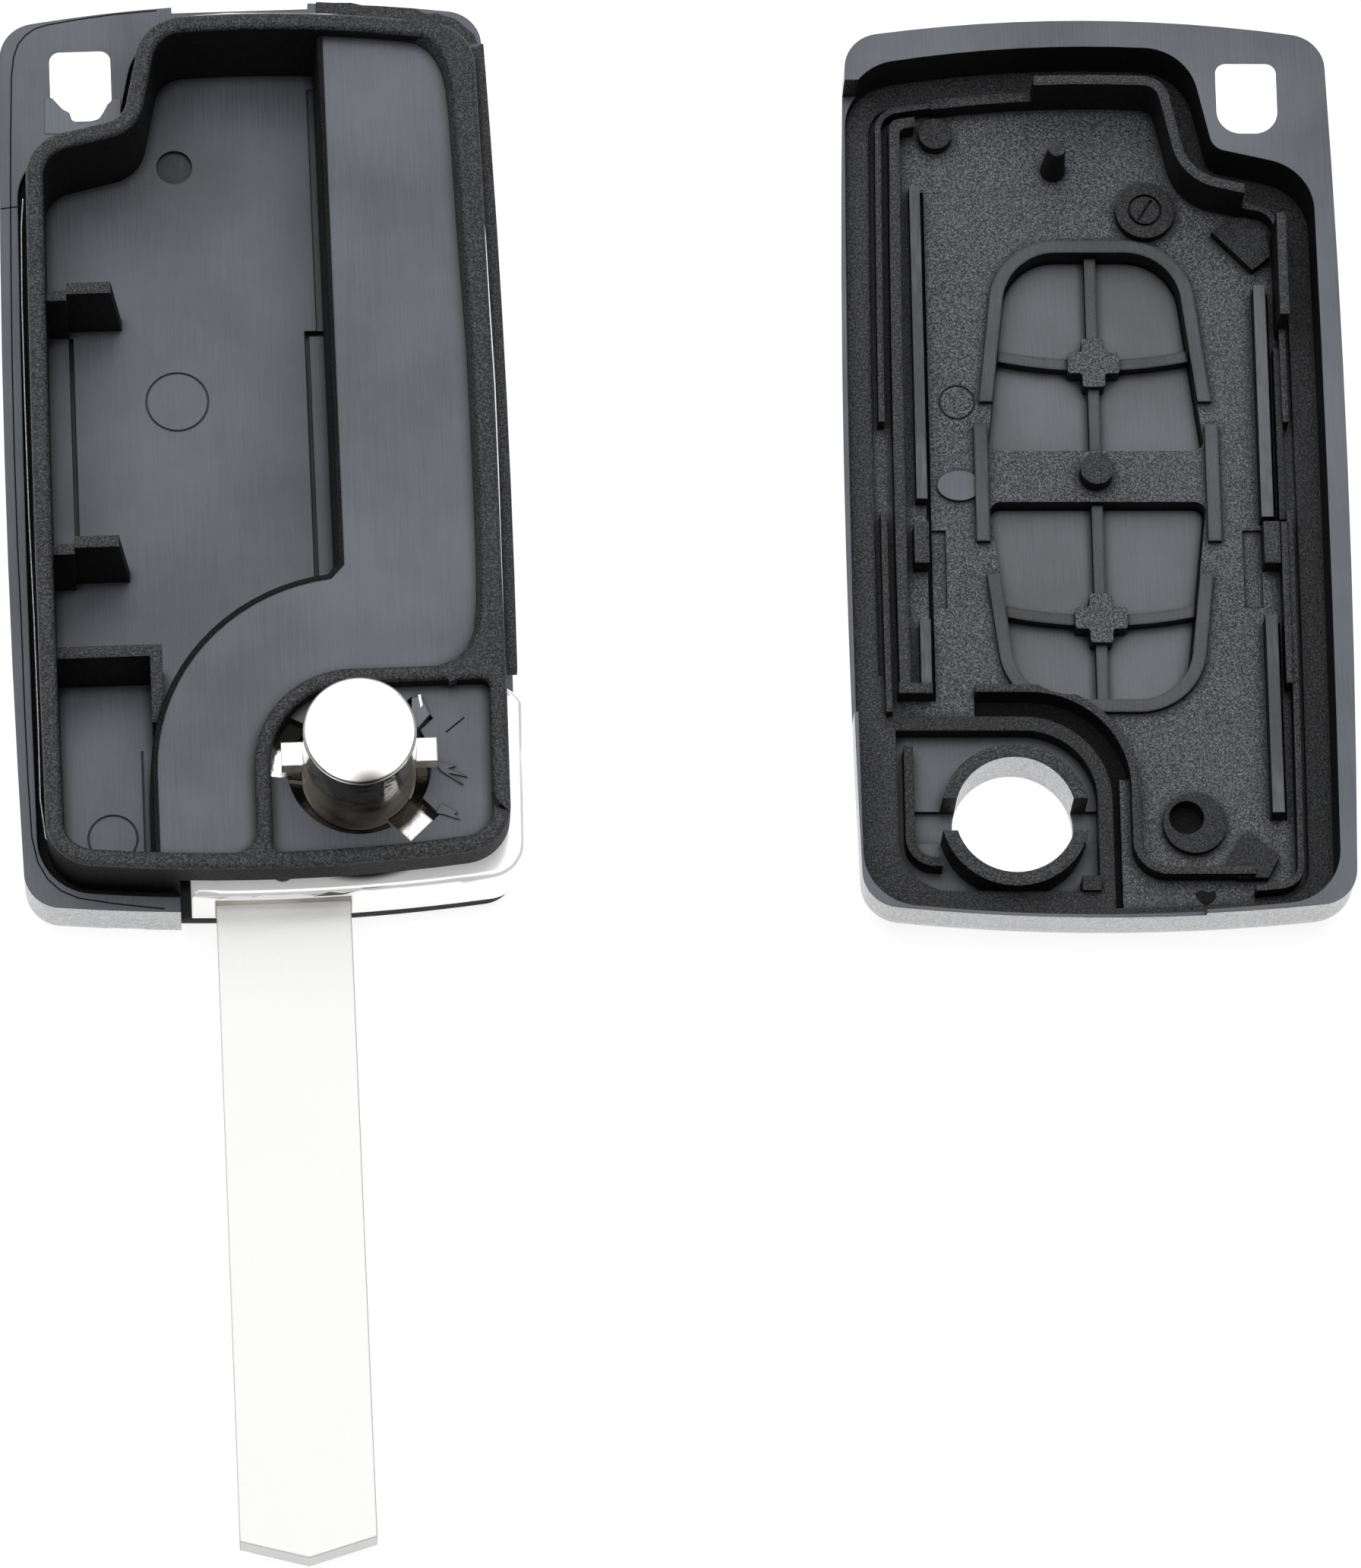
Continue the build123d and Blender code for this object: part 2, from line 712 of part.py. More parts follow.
# Blade holder: hub, bar across the blade end and band round the corner
with BuildPart() as blade_holder:
    with BuildSketch(Plane.XY.offset(holder_low)):
        with Locations((-holder_left, holder_bar - shell_bottom)):
            Rectangle(far, far, align=(Align.MIN, Align.MAX))
        with BuildSketch(mode=Mode.PRIVATE) as band:
            band_side = shell_right + holder_stand_out
            with Locations((band_side, band_end)):
                Rectangle(band_width, far, align=(Align.MAX, Align.MAX))
            top_corner = (band_side, band_end)
            fillet(band.vertices().sort_by_distance(top_corner)[0], band_corner)
        add(band.sketch)
        Circle(hub_radius)
        with BuildSketch(mode=Mode.PRIVATE) as beyond:
            Rectangle(far, 2 * far, align=(Align.MIN, Align.CENTER))
            Circle(chamber_radius - holder_gap, mode=Mode.SUBTRACT)
        add(beyond.sketch, mode=Mode.SUBTRACT)
        with Locations((holder_stand_out, 0)):
            add(shell_profile(), mode=Mode.INTERSECT)
    extrude(amount=holder_height)
    fillet(blade_holder.faces().sort_by(Axis.Z)[-1].edges(), holder_round)
    with BuildSketch(Plane.XY.offset(holder_top)):
        add(hub_lugs())
    extrude(amount=roof_under - holder_gap - holder_top)
    with BuildSketch(Plane.XY.offset(holder_top)):
        Circle(neck_radius)
    extrude(amount=roof_top - neck_drop - holder_top)
    with BuildSketch(Plane.XY.offset(bore_floor)):
        Circle(bore_radius)
    extrude(amount=closed_height, mode=Mode.SUBTRACT)
    with BuildSketch(Plane.XY.offset(holder_low)):
        Circle(pivot_boss_radius + running_gap)
    extrude(amount=holder_floor, mode=Mode.SUBTRACT)
    with BuildSketch(Plane.XY.offset(blade_low - blade_seat_gap)):
        with Locations((-blade_offset, blade_tang - shell_bottom)):
            Rectangle(blade_width + 2 * blade_seat_gap, far, align=(Align.CENTER, Align.MAX))
    extrude(amount=blade_thickness + 2 * blade_seat_gap, mode=Mode.SUBTRACT)
    with BuildSketch(Plane.XY.offset(blade_low)):
        with Locations((-blade_offset, root_recess - shell_bottom)):
            Rectangle(blade_width + 2 * blade_seat_gap, far, align=(Align.CENTER, Align.MAX))
    extrude(amount=holder_top - root_lip - blade_low, mode=Mode.SUBTRACT)
    with BuildSketch(Plane.XY.offset(holder_low)):
        with Locations((-blade_offset, pin_setback - shell_bottom)):
            Circle(pin_radius)
    extrude(amount=holder_height, mode=Mode.SUBTRACT)
blade_holder.part.label = "blade_holder"

# Blade, uncut, with its tang in the holder
with BuildPart() as key_blade:
    with BuildSketch(Plane.XY.offset(blade_low)):
        with BuildLine():
            half = blade_width / 2
            Polyline(
                (-blade_offset - half, blade_tang - shell_bottom),
                (-blade_offset + half, blade_tang - shell_bottom),
                (-blade_offset + half, -shell_bottom - blade_length),
                (-blade_offset, -shell_bottom - blade_length - blade_tip_bevel),
                (-blade_offset - half, -shell_bottom - blade_length),
                close=True,
            )
        make_face()
        with Locations((-blade_offset, pin_setback - shell_bottom)):
            Circle(pin_radius, mode=Mode.SUBTRACT)
    extrude(amount=blade_thickness)
key_blade.part.label = "key_blade"

with BuildPart() as blade_pin:
    with BuildSketch(Plane.XY.offset(holder_low)):
        with Locations((-blade_offset, pin_setback - shell_bottom)):
            Circle(pin_radius)
    extrude(amount=holder_height)
blade_pin.part.label = "blade_pin"

# Release button: a barrel with two lugs, hollow from below for its spring
with BuildPart() as release_button:
    with BuildSketch(Plane.XY.offset(button_top - button_length)):
        Circle(button_radius)
    extrude(amount=button_length)
    fillet(release_button.faces().sort_by(Axis.Z)[-1].edges(), button_round)
    with BuildSketch(Plane.XY.offset(lug_low)):
        Rectangle(2 * lug_reach, lug_width)
    extrude(amount=lug_height)
    with BuildSketch(Plane.XY.offset(button_top - button_length)):
        Circle(button_radius - button_wall)
    extrude(amount=button_length - button_wall, mode=Mode.SUBTRACT)
release_button.part.label = "release_button"

# Spring from the hub's floor to the underside of the button's face
spring_low = bore_floor + spring_wire / 2
spring_length = button_top - button_wall - bore_floor - spring_wire
with BuildPart() as flip_spring:
    with BuildLine():
        coil = Helix(
            pitch=spring_length / spring_turns,
            height=spring_length,
            radius=spring_radius,
            center=(0, 0, spring_low),
        )
    with BuildSketch(Plane(origin=coil @ 0, z_dir=coil % 0)):
        RegularPolygon(radius=spring_wire / 2, side_count=spring_wire_sides)
    sweep(is_frenet=True)
flip_spring.part.label = "flip_spring"

# Front cover, turned over
with BuildPart() as front_cover:
    straight_top = parting_height + cover_straight
    with BuildSketch(cover_plane(parting_height)):
        add(shell_profile())
    extrude(amount=cover_straight)
    with BuildSketch(cover_plane(straight_top)):
        add(shell_profile())
    with BuildSketch(cover_plane(straight_top + cover_shoulder)):
        add(shell_profile(cover_shoulder_inset))
    with BuildSketch(cover_plane(closed_height)):
        add(shell_profile(cover_face_inset))
    loft()
    # Rim that fits over the case's wall, then the floor inside it
    with BuildSketch(cover_plane(parting_height)):
        add(wall_loop(-cover_gap))
    extrude(amount=ledge_height - parting_height, mode=Mode.SUBTRACT)
    with BuildSketch(cover_plane(parting_height)):
        add(wall_loop(wall_thickness))
    extrude(amount=cover_floor - parting_height, mode=Mode.SUBTRACT)
    # Hinge pocket with its wall, the trench outside it for the case's divider, and its rib
    with BuildSketch(cover_plane(ledge_height)):
        add(cover_pocket())
        add(wall_loop(), mode=Mode.INTERSECT)
    extrude(amount=front_skin - pocket_skin)
    with BuildSketch(cover_plane(ledge_height)):
        add(cover_pocket(pocket_wall))
        add(pocket_bounds(), mode=Mode.INTERSECT)
    extrude(amount=pocket_floor - ledge_height, mode=Mode.SUBTRACT)
    with BuildSketch(cover_plane(pocket_floor)):
        Rectangle(2 * lug_track, lug_slot_width)
    extrude(amount=lug_track_depth, mode=Mode.SUBTRACT)
    with BuildSketch(cover_plane(ledge_height)):
        add(trench_profile())
        with BuildSketch(mode=Mode.PRIVATE) as narrow:
            with Locations((-pocket_wall_left - trench_narrow, trench_narrow_top)):
                Rectangle(far, far, align=(Align.MAX, Align.MAX))
        add(narrow.sketch, mode=Mode.SUBTRACT)
        add(cover_pocket(), mode=Mode.SUBTRACT)
        add(wall_loop(wall_thickness), mode=Mode.INTERSECT)
    extrude(amount=closed_height - trench_floor - ledge_height, mode=Mode.SUBTRACT)
    with BuildSketch(cover_plane(closed_height - trench_rib_reach)):
        add(trench_profile(trench_rib))
        add(trench_profile(), mode=Mode.SUBTRACT)
        add(wall_loop(wall_thickness + rib_gap), mode=Mode.INTERSECT)
    extrude(amount=trench_rib_reach - pocket_skin)
    # Bearing ring, slots for the button's lugs, and an angled rib beside them
    with BuildSketch(cover_plane(closed_height - ring_reach)):
        Circle(button_hole_radius + ring_width)
        Rectangle(2 * lug_slot_reach, lug_slot_width, mode=Mode.SUBTRACT)
    extrude(amount=ring_reach - pocket_skin)
    with BuildSketch(cover_plane(closed_height - angle_reach)) as angle:
        with BuildLine():
            Polyline(
                (angle_left, angle_top),
                (angle_right, angle_top),
                (angle_right, -angle_low),
                (angle_foot, -angle_low),
                (angle_foot, angle_right - angle_left - angle_low),
                (angle_left, angle_right - angle_left - angle_low),
                close=True,
            )
        make_face()
        outer_corner = (angle_right, -angle_low)
        fillet(angle.vertices().sort_by_distance(outer_corner)[0], angle_corner)
        inner_corner = (angle_left, angle_right - angle_left - angle_low)
        inner_radius = angle_corner + angle_left - angle_right
        fillet(angle.vertices().sort_by_distance(inner_corner)[0], inner_radius)
    extrude(amount=angle_reach - pocket_skin)
    with BuildSketch(cover_plane(closed_height - pocket_block_reach)):
        with Locations(pocket_block):
            Rectangle(pocket_block_width, pocket_block_length)
    extrude(amount=pocket_block_reach - pocket_skin)
    # Rib round the bay, and the filled corner between it and the hinge pocket
    with BuildSketch(cover_plane(closed_height - loop_reach)):
        add(wall_loop(wall_thickness + loop_gap))
        add(wall_loop(wall_thickness + loop_gap + loop_width), mode=Mode.SUBTRACT)
        add(trench_profile(trench_rib), mode=Mode.SUBTRACT)
        add(cover_pocket(), mode=Mode.SUBTRACT)
        with Locations((0, loop_break_low)):
            Rectangle(
                far,
                loop_break_top - loop_break_low,
                align=(Align.CENTER, Align.MIN),
                mode=Mode.SUBTRACT,
            )
    extrude(amount=loop_reach - pocket_skin)
    with BuildSketch(cover_plane(ledge_height)):
        with Locations((inner_right_x, pocket_wall_top)):
            Rectangle(
                inner_right_x - bay_corner_x + bay_corner_radius,
                bay_corner_radius,
                align=(Align.MAX, Align.MIN),
            )
        with Locations((bay_corner_x - bay_corner_radius, pocket_wall_top + bay_corner_radius)):
            Circle(bay_corner_radius, mode=Mode.SUBTRACT)
    extrude(amount=front_skin - pocket_skin)
    # Ribs that stand inside the case's wall, high over the bay and low over the roof
    for left, right, low, reach in (
        (-bay_rib_left, -bay_rib_right, bay_rib_low, bay_rib_reach),
        (-bay_rib_right, roof_rib_right, roof_rib_low, roof_rib_reach),
    ):
        with BuildSketch(cover_plane(closed_height - reach)):
            with Locations((left, low)):
                Rectangle(right - left, far, align=(Align.MIN, Align.MIN))
            add(wall_loop(wall_thickness + rib_gap), mode=Mode.INTERSECT)
            add(wall_loop(wall_thickness + rib_gap + rib_thickness), mode=Mode.SUBTRACT)
        extrude(amount=reach - pocket_skin)
    for near, width, low, top, reach in left_rails:
        with BuildSketch(cover_plane(closed_height - reach)):
            with Locations((inner_left_x + near, low)):
                Rectangle(width, top - low, align=(Align.MIN, Align.MIN))
        extrude(amount=reach - pocket_skin)
    for near, width, low, top, reach in right_rails:
        with BuildSketch(cover_plane(closed_height - reach)):
            with Locations((inner_right_x - near, low)):
                Rectangle(width, top - low, align=(Align.MAX, Align.MIN))
        extrude(amount=reach - pocket_skin)
    with BuildSketch(cover_plane(closed_height - long_rail_reach)):
        add(wall_loop(wall_thickness + long_rail_gap))
        add(wall_loop(wall_thickness + long_rail_gap + long_rail_width), mode=Mode.SUBTRACT)
        with Locations((long_rail_end, rail_foot_low)):
            Rectangle(far, far, align=(Align.MIN, Align.MIN), mode=Mode.INTERSECT)
        with Locations((inner_right_x - long_rail_gap, rail_foot_low)):
            Rectangle(rail_foot_reach, rail_foot_width, align=(Align.MAX, Align.MIN))
    extrude(amount=long_rail_reach - pocket_skin)
    with BuildSketch(cover_plane(cover_floor)):
        for near, low, top in left_grooves:
            with Locations((inner_left_x + near, low)):
                Rectangle(rail_groove_width, top - low, align=(Align.MIN, Align.MIN))
        for near, low, top in right_grooves:
            with Locations((inner_right_x - near, low)):
                Rectangle(rail_groove_width, top - low, align=(Align.MAX, Align.MIN))
    extrude(amount=rail_groove_depth, mode=Mode.SUBTRACT)
    # Clips beside the rails, each with a sunk pad
    with BuildSketch(cover_plane(closed_height - clip_reach)):
        with Locations((inner_left_x + left_clip_near, clip_low)):
            Rectangle(left_clip_width, clip_top - clip_low, align=(Align.MIN, Align.MIN))
        with Locations((inner_right_x - right_clip_near, clip_low)):
            Rectangle(right_clip_width, clip_top - clip_low, align=(Align.MAX, Align.MIN))
    extrude(amount=clip_reach - pocket_skin)
    pad_height = clip_top - clip_pad_low
    left_pad_x = inner_left_x + left_clip_near + left_clip_width
    right_pad_x = inner_right_x - right_clip_near - right_clip_width
    with BuildSketch(cover_plane(cover_floor)):
        with Locations((left_pad_x, clip_pad_low)):
            Rectangle(clip_pad_width, pad_height, align=(Align.MIN, Align.MIN))
        with Locations((right_pad_x, clip_pad_low)):
            Rectangle(clip_pad_width, pad_height, align=(Align.MAX, Align.MIN))
    extrude(amount=clip_pad_depth, mode=Mode.SUBTRACT)
    # Round pads and bosses
    for place, radius, reach in (
        (corner_pad, corner_pad_radius, corner_pad_reach),
        (ring_boss, ring_boss_radius, ring_boss_reach),
        (post_place, post_radius, post_reach),
        (screw_boss, screw_boss_radius, screw_boss_reach),
    ):
        with BuildSketch(cover_plane(closed_height - reach)):
            with Locations(place):
                Circle(radius)
        extrude(amount=reach - pocket_skin)
    with BuildSketch(cover_plane(closed_height - screw_boss_reach)):
        with Locations(screw_hole):
            Circle(screw_hole_radius)
    extrude(amount=screw_boss_reach - screw_hole_floor, mode=Mode.SUBTRACT)
    with BuildSketch(cover_plane(closed_height - ring_boss_reach)):
        with Locations(ring_boss):
            Circle(ring_boss_mark)
            Circle(ring_boss_mark - ring_boss_groove, mode=Mode.SUBTRACT)
            Rectangle(ring_boss_slit, ring_boss_groove, rotation=ring_boss_turn)
    extrude(amount=ring_boss_depth, mode=Mode.SUBTRACT)
    with BuildSketch(cover_plane(cover_floor)):
        with Locations(round_mark):
            Circle(round_mark_radius)
            Circle(round_mark_radius - seam_width, mode=Mode.SUBTRACT)
    extrude(amount=seam_step, mode=Mode.SUBTRACT)
    with BuildSketch(cover_plane(cover_floor - oval_pad_rise)):
        with Locations(oval_pad):
            Ellipse(oval_pad_length, oval_pad_height)
    extrude(amount=front_skin - pocket_skin)
    with BuildSketch(cover_plane(closed_height - gusset_reach)):
        for corners in (upper_gusset, lower_gusset):
            with BuildLine():
                Polyline(*corners, close=True)
            make_face()
    extrude(amount=gusset_reach - pocket_skin)
    with BuildSketch(cover_plane(pocket_floor)):
        with Locations(peg_place):
            Circle(peg_radius + (pocket_floor - cover_floor) * tan(radians(peg_taper)))
    extrude(amount=closed_height - peg_reach - pocket_floor, taper=peg_taper)
    # Lips round the key windows, broken beside the bar between them
    lip_left = -key_centre_x - window_width_low / 2 - lip_width
    lip_length = lip_side_high - lip_side_low
    with BuildSketch(cover_plane(cover_floor - lip_rise)):
        add(window_profile(upper_window_low, upper_window_top, False, -lip_width))
        with Locations((lip_left, lip_break_high)):
            Rectangle(far, far, align=(Align.MIN, Align.MIN), mode=Mode.INTERSECT)
        with Locations((lip_left, lip_side_low)):
            Rectangle(lip_width, lip_length, align=(Align.MIN, Align.MIN))
        with Locations((lip_left + window_width_low + lip_width, lip_side_low)):
            Rectangle(lip_width, lip_length, align=(Align.MIN, Align.MIN))
        with BuildSketch(mode=Mode.PRIVATE) as low_lip:
            add(window_profile(lower_window_low, lower_window_top, True, -lip_width))
            with Locations((lip_left, lip_break_low)):
                Rectangle(far, far, align=(Align.MIN, Align.MAX), mode=Mode.INTERSECT)
        add(low_lip.sketch)
        add(trench_profile(trench_rib), mode=Mode.SUBTRACT)
    extrude(amount=lip_rise + front_skin - pocket_skin)
    with BuildSketch(cover_plane(parting_height)):
        Circle(button_hole_radius)
        add(ring_hole())
        add(window_profile(upper_window_low, upper_window_top, False, window_step))
        add(window_profile(lower_window_low, lower_window_top, True, window_step))
    extrude(amount=closed_height - parting_height, mode=Mode.SUBTRACT)
    with BuildSketch(cover_plane(parting_height)):
        add(window_profile(upper_window_low, upper_window_top, False))
        add(window_profile(lower_window_low, lower_window_top, True))
    extrude(amount=window_step_low - parting_height, mode=Mode.SUBTRACT)
    # Rim cut back beside the roof's edge, and a little round the blade holder
    with BuildSketch(cover_plane(parting_height)):
        with Locations((inner_right_x, side_cut_low)):
            Rectangle(far, side_cut_top - side_cut_low, align=(Align.MIN, Align.MIN))
    extrude(amount=roof_top + half_gap - parting_height, mode=Mode.SUBTRACT)
    with BuildSketch(cover_plane(parting_height)):
        with Locations((-holder_relief_left, holder_relief_top)):
            Rectangle(far, far, align=(Align.MIN, Align.MAX))
    extrude(amount=holder_relief, mode=Mode.SUBTRACT)
front_cover.part.label = "front_cover"


def key_body(low, high, wide_at_top, plus_y):
    """A soft key: stepped plate, thin ribs and the plus that meets the switch."""
    plate_low = closed_height - key_lift - key_plate
    with BuildPart() as key:
        with BuildSketch(cover_plane(plate_low)):
            add(window_profile(low, high, wide_at_top, key_gap))
        extrude(amount=window_step_low - key_gap - plate_low)
        with BuildSketch(cover_plane(plate_low)):
            add(window_profile(low, high, wide_at_top, window_step + key_gap))
        extrude(amount=key_plate)
        with BuildSketch(cover_plane(plate_low - key_rib_height)):
            with Locations((-key_centre_x, plus_y + key_rib_bend)):
                Circle(key_rib_bend + key_rib / 2)
                Circle(key_rib_bend - key_rib / 2, mode=Mode.SUBTRACT)
            with Locations((-key_centre_x, plus_y)):
                Rectangle(key_rib, far)
            add(window_profile(low, high, wide_at_top, key_gap), mode=Mode.INTERSECT)
        extrude(amount=key_rib_height)
        with BuildSketch(cover_plane(plate_low - key_plus_height)) as plus:
            with Locations((-key_centre_x, plus_y)):
                Rectangle(2 * key_plus_reach, key_plus_width)
                Rectangle(key_plus_width, 2 * key_plus_reach)
            fillet(plus.vertices(), key_plus_round)
        extrude(amount=key_plus_height)
    return key.part


upper_key = key_body(upper_window_low, upper_window_top, False, upper_plus_y)
upper_key.label = "upper_key"
lower_key = key_body(lower_window_low, lower_window_top, True, lower_plus_y)
lower_key.label = "lower_key"

os.makedirs("parts", exist_ok=True)
export_step(rear_case.part, "parts/rear_case.step")
export_step(front_cover.part, "parts/front_cover.step")
export_step(upper_key, "parts/upper_key.step")
export_step(lower_key, "parts/lower_key.step")
export_step(blade_holder.part, "parts/blade_holder.step")
export_step(key_blade.part, "parts/key_blade.step")
export_step(blade_pin.part, "parts/blade_pin.step")
export_step(release_button.part, "parts/release_button.step")
export_step(flip_spring.part, "parts/flip_spring.step")
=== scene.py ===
import math

import bmesh
import bpy
from mathutils import Matrix, Vector


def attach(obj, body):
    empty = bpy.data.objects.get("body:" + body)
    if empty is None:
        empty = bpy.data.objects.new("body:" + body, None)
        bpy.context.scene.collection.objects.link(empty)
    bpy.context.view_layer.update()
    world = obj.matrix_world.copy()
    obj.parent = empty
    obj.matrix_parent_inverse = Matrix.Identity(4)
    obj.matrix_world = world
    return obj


mm = 0.001
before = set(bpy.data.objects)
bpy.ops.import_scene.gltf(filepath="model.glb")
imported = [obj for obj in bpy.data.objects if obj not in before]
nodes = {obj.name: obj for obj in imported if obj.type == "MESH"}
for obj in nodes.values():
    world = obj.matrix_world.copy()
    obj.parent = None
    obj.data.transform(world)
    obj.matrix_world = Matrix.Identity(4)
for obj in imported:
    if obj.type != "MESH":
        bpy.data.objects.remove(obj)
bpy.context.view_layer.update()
bpy.ops.object.select_all(action="DESELECT")
print("frame loaded with", len(nodes), "nodes")

# Camera, low over the blade end and a little to the left, with the picture turned slightly
cameraSettings = {
    "target": (24.03, 0.80, 0.0),
    "distance": 700.0,
    "elevation": 70.7,
    "azimuth": 9.5,
    "roll": 3.1,
    "lens": 216.0,
    "sensor": 36.0,
}


def makeCamera(s):
    tilt = math.radians(s["elevation"])
    turn = math.radians(s["azimuth"])
    level = math.cos(tilt)
    back = Vector((-math.sin(turn) * level, -math.cos(turn) * level, math.sin(tilt)))
    ahead = -back
    alongY = Vector((0, 1, 0)) - ahead * ahead.y
    alongY.normalize()
    sideways = ahead.cross(alongY)
    roll = math.radians(s["roll"])
    up = alongY * math.cos(roll) + sideways * math.sin(roll)
    right = ahead.cross(up)
    data = bpy.data.cameras.new("photoCamera")
    data.lens = s["lens"]
    data.sensor_width = s["sensor"]
    data.clip_start = 0.01
    data.clip_end = 20.0
    camera = bpy.data.objects.new("photoCamera", data)
    bpy.context.scene.collection.objects.link(camera)
    turned = Matrix((right, up, back)).transposed().to_4x4()
    turned.translation = (Vector(s["target"]) + back * s["distance"]) * mm
    camera.matrix_world = turned
    bpy.context.scene.camera = camera


makeCamera(cameraSettings)
bpy.context.scene.view_settings.view_transform = "Standard"
print("camera set")

# One wide softbox overhead, leaning to the keyring end
lampSettings = {
    "softbox": {"from": (-0.04, 0.32, 0.95), "distance": 1.1, "size": (1.5, 1.7), "power": 8.4},
}


def makeLamp(name, s):
    data = bpy.data.lights.new(name, "AREA")
    data.shape = "RECTANGLE"
    data.size, data.size_y = s["size"]
    data.energy = s["power"]
    lamp = bpy.data.objects.new(name, data)
    bpy.context.scene.collection.objects.link(lamp)
    towards = Vector(s["from"]).normalized()
    middle = Vector(cameraSettings["target"]) * mm
    lamp.location = middle + towards * s["distance"]
    lamp.rotation_euler = towards.to_track_quat("Z", "Y").to_euler()


for lampName, lampValues in lampSettings.items():
    makeLamp(lampName, lampValues)


def addNode(tree, kind, **values):
    node = tree.nodes.new(kind)
    for key, value in values.items():
        if key in node.inputs:
            node.inputs[key].default_value = value
        else:
            setattr(node, key, value)
    return node


def joinSockets(tree, *pairs):
    for source, target in pairs:
        tree.links.new(source, target)


# Surroundings: white where the camera or a reflection sees them, dim as a light
stageSettings = {
    "floorSize": 6.0,
    "floorColour": (0.45, 0.45, 0.45, 1),
    "floorGlow": 0.80,
    "worldColour": (0.97, 0.985, 1.0, 1),
    "bright": (-0.10, 0.45, 0.89),
    "mirroredBand": (0.30, 0.92),
    "mirrored": (0.03, 0.85),
    "lightBand": (0.05, 0.85),
    "light": (0.24, 0.36),
}


def makeWorld(s):
    world = bpy.data.worlds.new("whiteTent")
    bpy.context.scene.world = world
    world.use_nodes = True
    tree = world.node_tree
    tree.nodes.clear()
    path = addNode(tree, "ShaderNodeLightPath")
    seen = addNode(tree, "ShaderNodeMix", data_type="FLOAT")
    seen.inputs[3].default_value = 1.0
    glossy = addNode(tree, "ShaderNodeMix", data_type="FLOAT")
    place = addNode(tree, "ShaderNodeTexCoord")
    lean = addNode(tree, "ShaderNodeVectorMath", operation="DOT_PRODUCT")
    lean.inputs[1].default_value = Vector(s["bright"]).normalized()
    levels = []
    for band, level in (("lightBand", "light"), ("mirroredBand", "mirrored")):
        part = addNode(tree, "ShaderNodeMapRange", interpolation_type="SMOOTHSTEP")
        part.inputs["From Min"].default_value, part.inputs["From Max"].default_value = s[band]
        part.inputs["To Min"].default_value, part.inputs["To Max"].default_value = s[level]
        tree.links.new(lean.outputs["Value"], part.inputs["Value"])
        levels.append(part.outputs["Result"])
    backdrop = addNode(tree, "ShaderNodeBackground")
    backdrop.inputs["Color"].default_value = s["worldColour"]
    out = addNode(tree, "ShaderNodeOutputWorld")
    joinSockets(
        tree,
        (place.outputs["Generated"], lean.inputs[0]),
        (path.outputs["Is Glossy Ray"], glossy.inputs[0]),
        (levels[0], glossy.inputs[2]),
        (levels[1], glossy.inputs[3]),
        (path.outputs["Is Camera Ray"], seen.inputs[0]),
        (glossy.outputs[0], seen.inputs[2]),
        (seen.outputs[0], backdrop.inputs["Strength"]),
        (backdrop.outputs[0], out.inputs["Surface"]),
    )


def makeFloor(s):
    bpy.ops.mesh.primitive_plane_add(size=s["floorSize"], location=(0, 0, 0))
    floor = bpy.context.active_object
    floor.name = "floor"
    material = bpy.data.materials.new("whiteFloor")
    material.use_nodes = True
    tree = material.node_tree
    tree.nodes.clear()
    path = addNode(tree, "ShaderNodeLightPath")
    either = addNode(tree, "ShaderNodeMath", operation="MAXIMUM")
    level = addNode(tree, "ShaderNodeMath", operation="MULTIPLY")
    level.inputs[1].default_value = s["floorGlow"]
    matt = addNode(tree, "ShaderNodeBsdfDiffuse")
    matt.inputs["Color"].default_value = s["floorColour"]
    glow = addNode(tree, "ShaderNodeEmission")
    both = addNode(tree, "ShaderNodeAddShader")
    out = addNode(tree, "ShaderNodeOutputMaterial")
    joinSockets(
        tree,
        (path.outputs["Is Camera Ray"], either.inputs[0]),
        (path.outputs["Is Glossy Ray"], either.inputs[1]),
        (either.outputs[0], level.inputs[0]),
        (level.outputs[0], glow.inputs["Strength"]),
        (matt.outputs[0], both.inputs[0]),
        (glow.outputs[0], both.inputs[1]),
        (both.outputs[0], out.inputs["Surface"]),
    )
    floor.data.materials.append(material)
    floor.select_set(False)


makeWorld(stageSettings)
makeFloor(stageSettings)
print("lamps, backdrop and floor set")

# Shader groups that several finishes share


def newGroup(name, inputs, outputs):
    group = bpy.data.node_groups.new(name, "ShaderNodeTree")
    for label, value in inputs.items():
        socket = group.interface.new_socket(label, in_out="INPUT", socket_type="NodeSocketFloat")
        socket.default_value = value
    for label in outputs:
        kind = "NodeSocketVector" if label == "Normal" else "NodeSocketFloat"
        group.interface.new_socket(label, in_out="OUTPUT", socket_type=kind)
    return group, group.nodes.new("NodeGroupInput"), group.nodes.new("NodeGroupOutput")


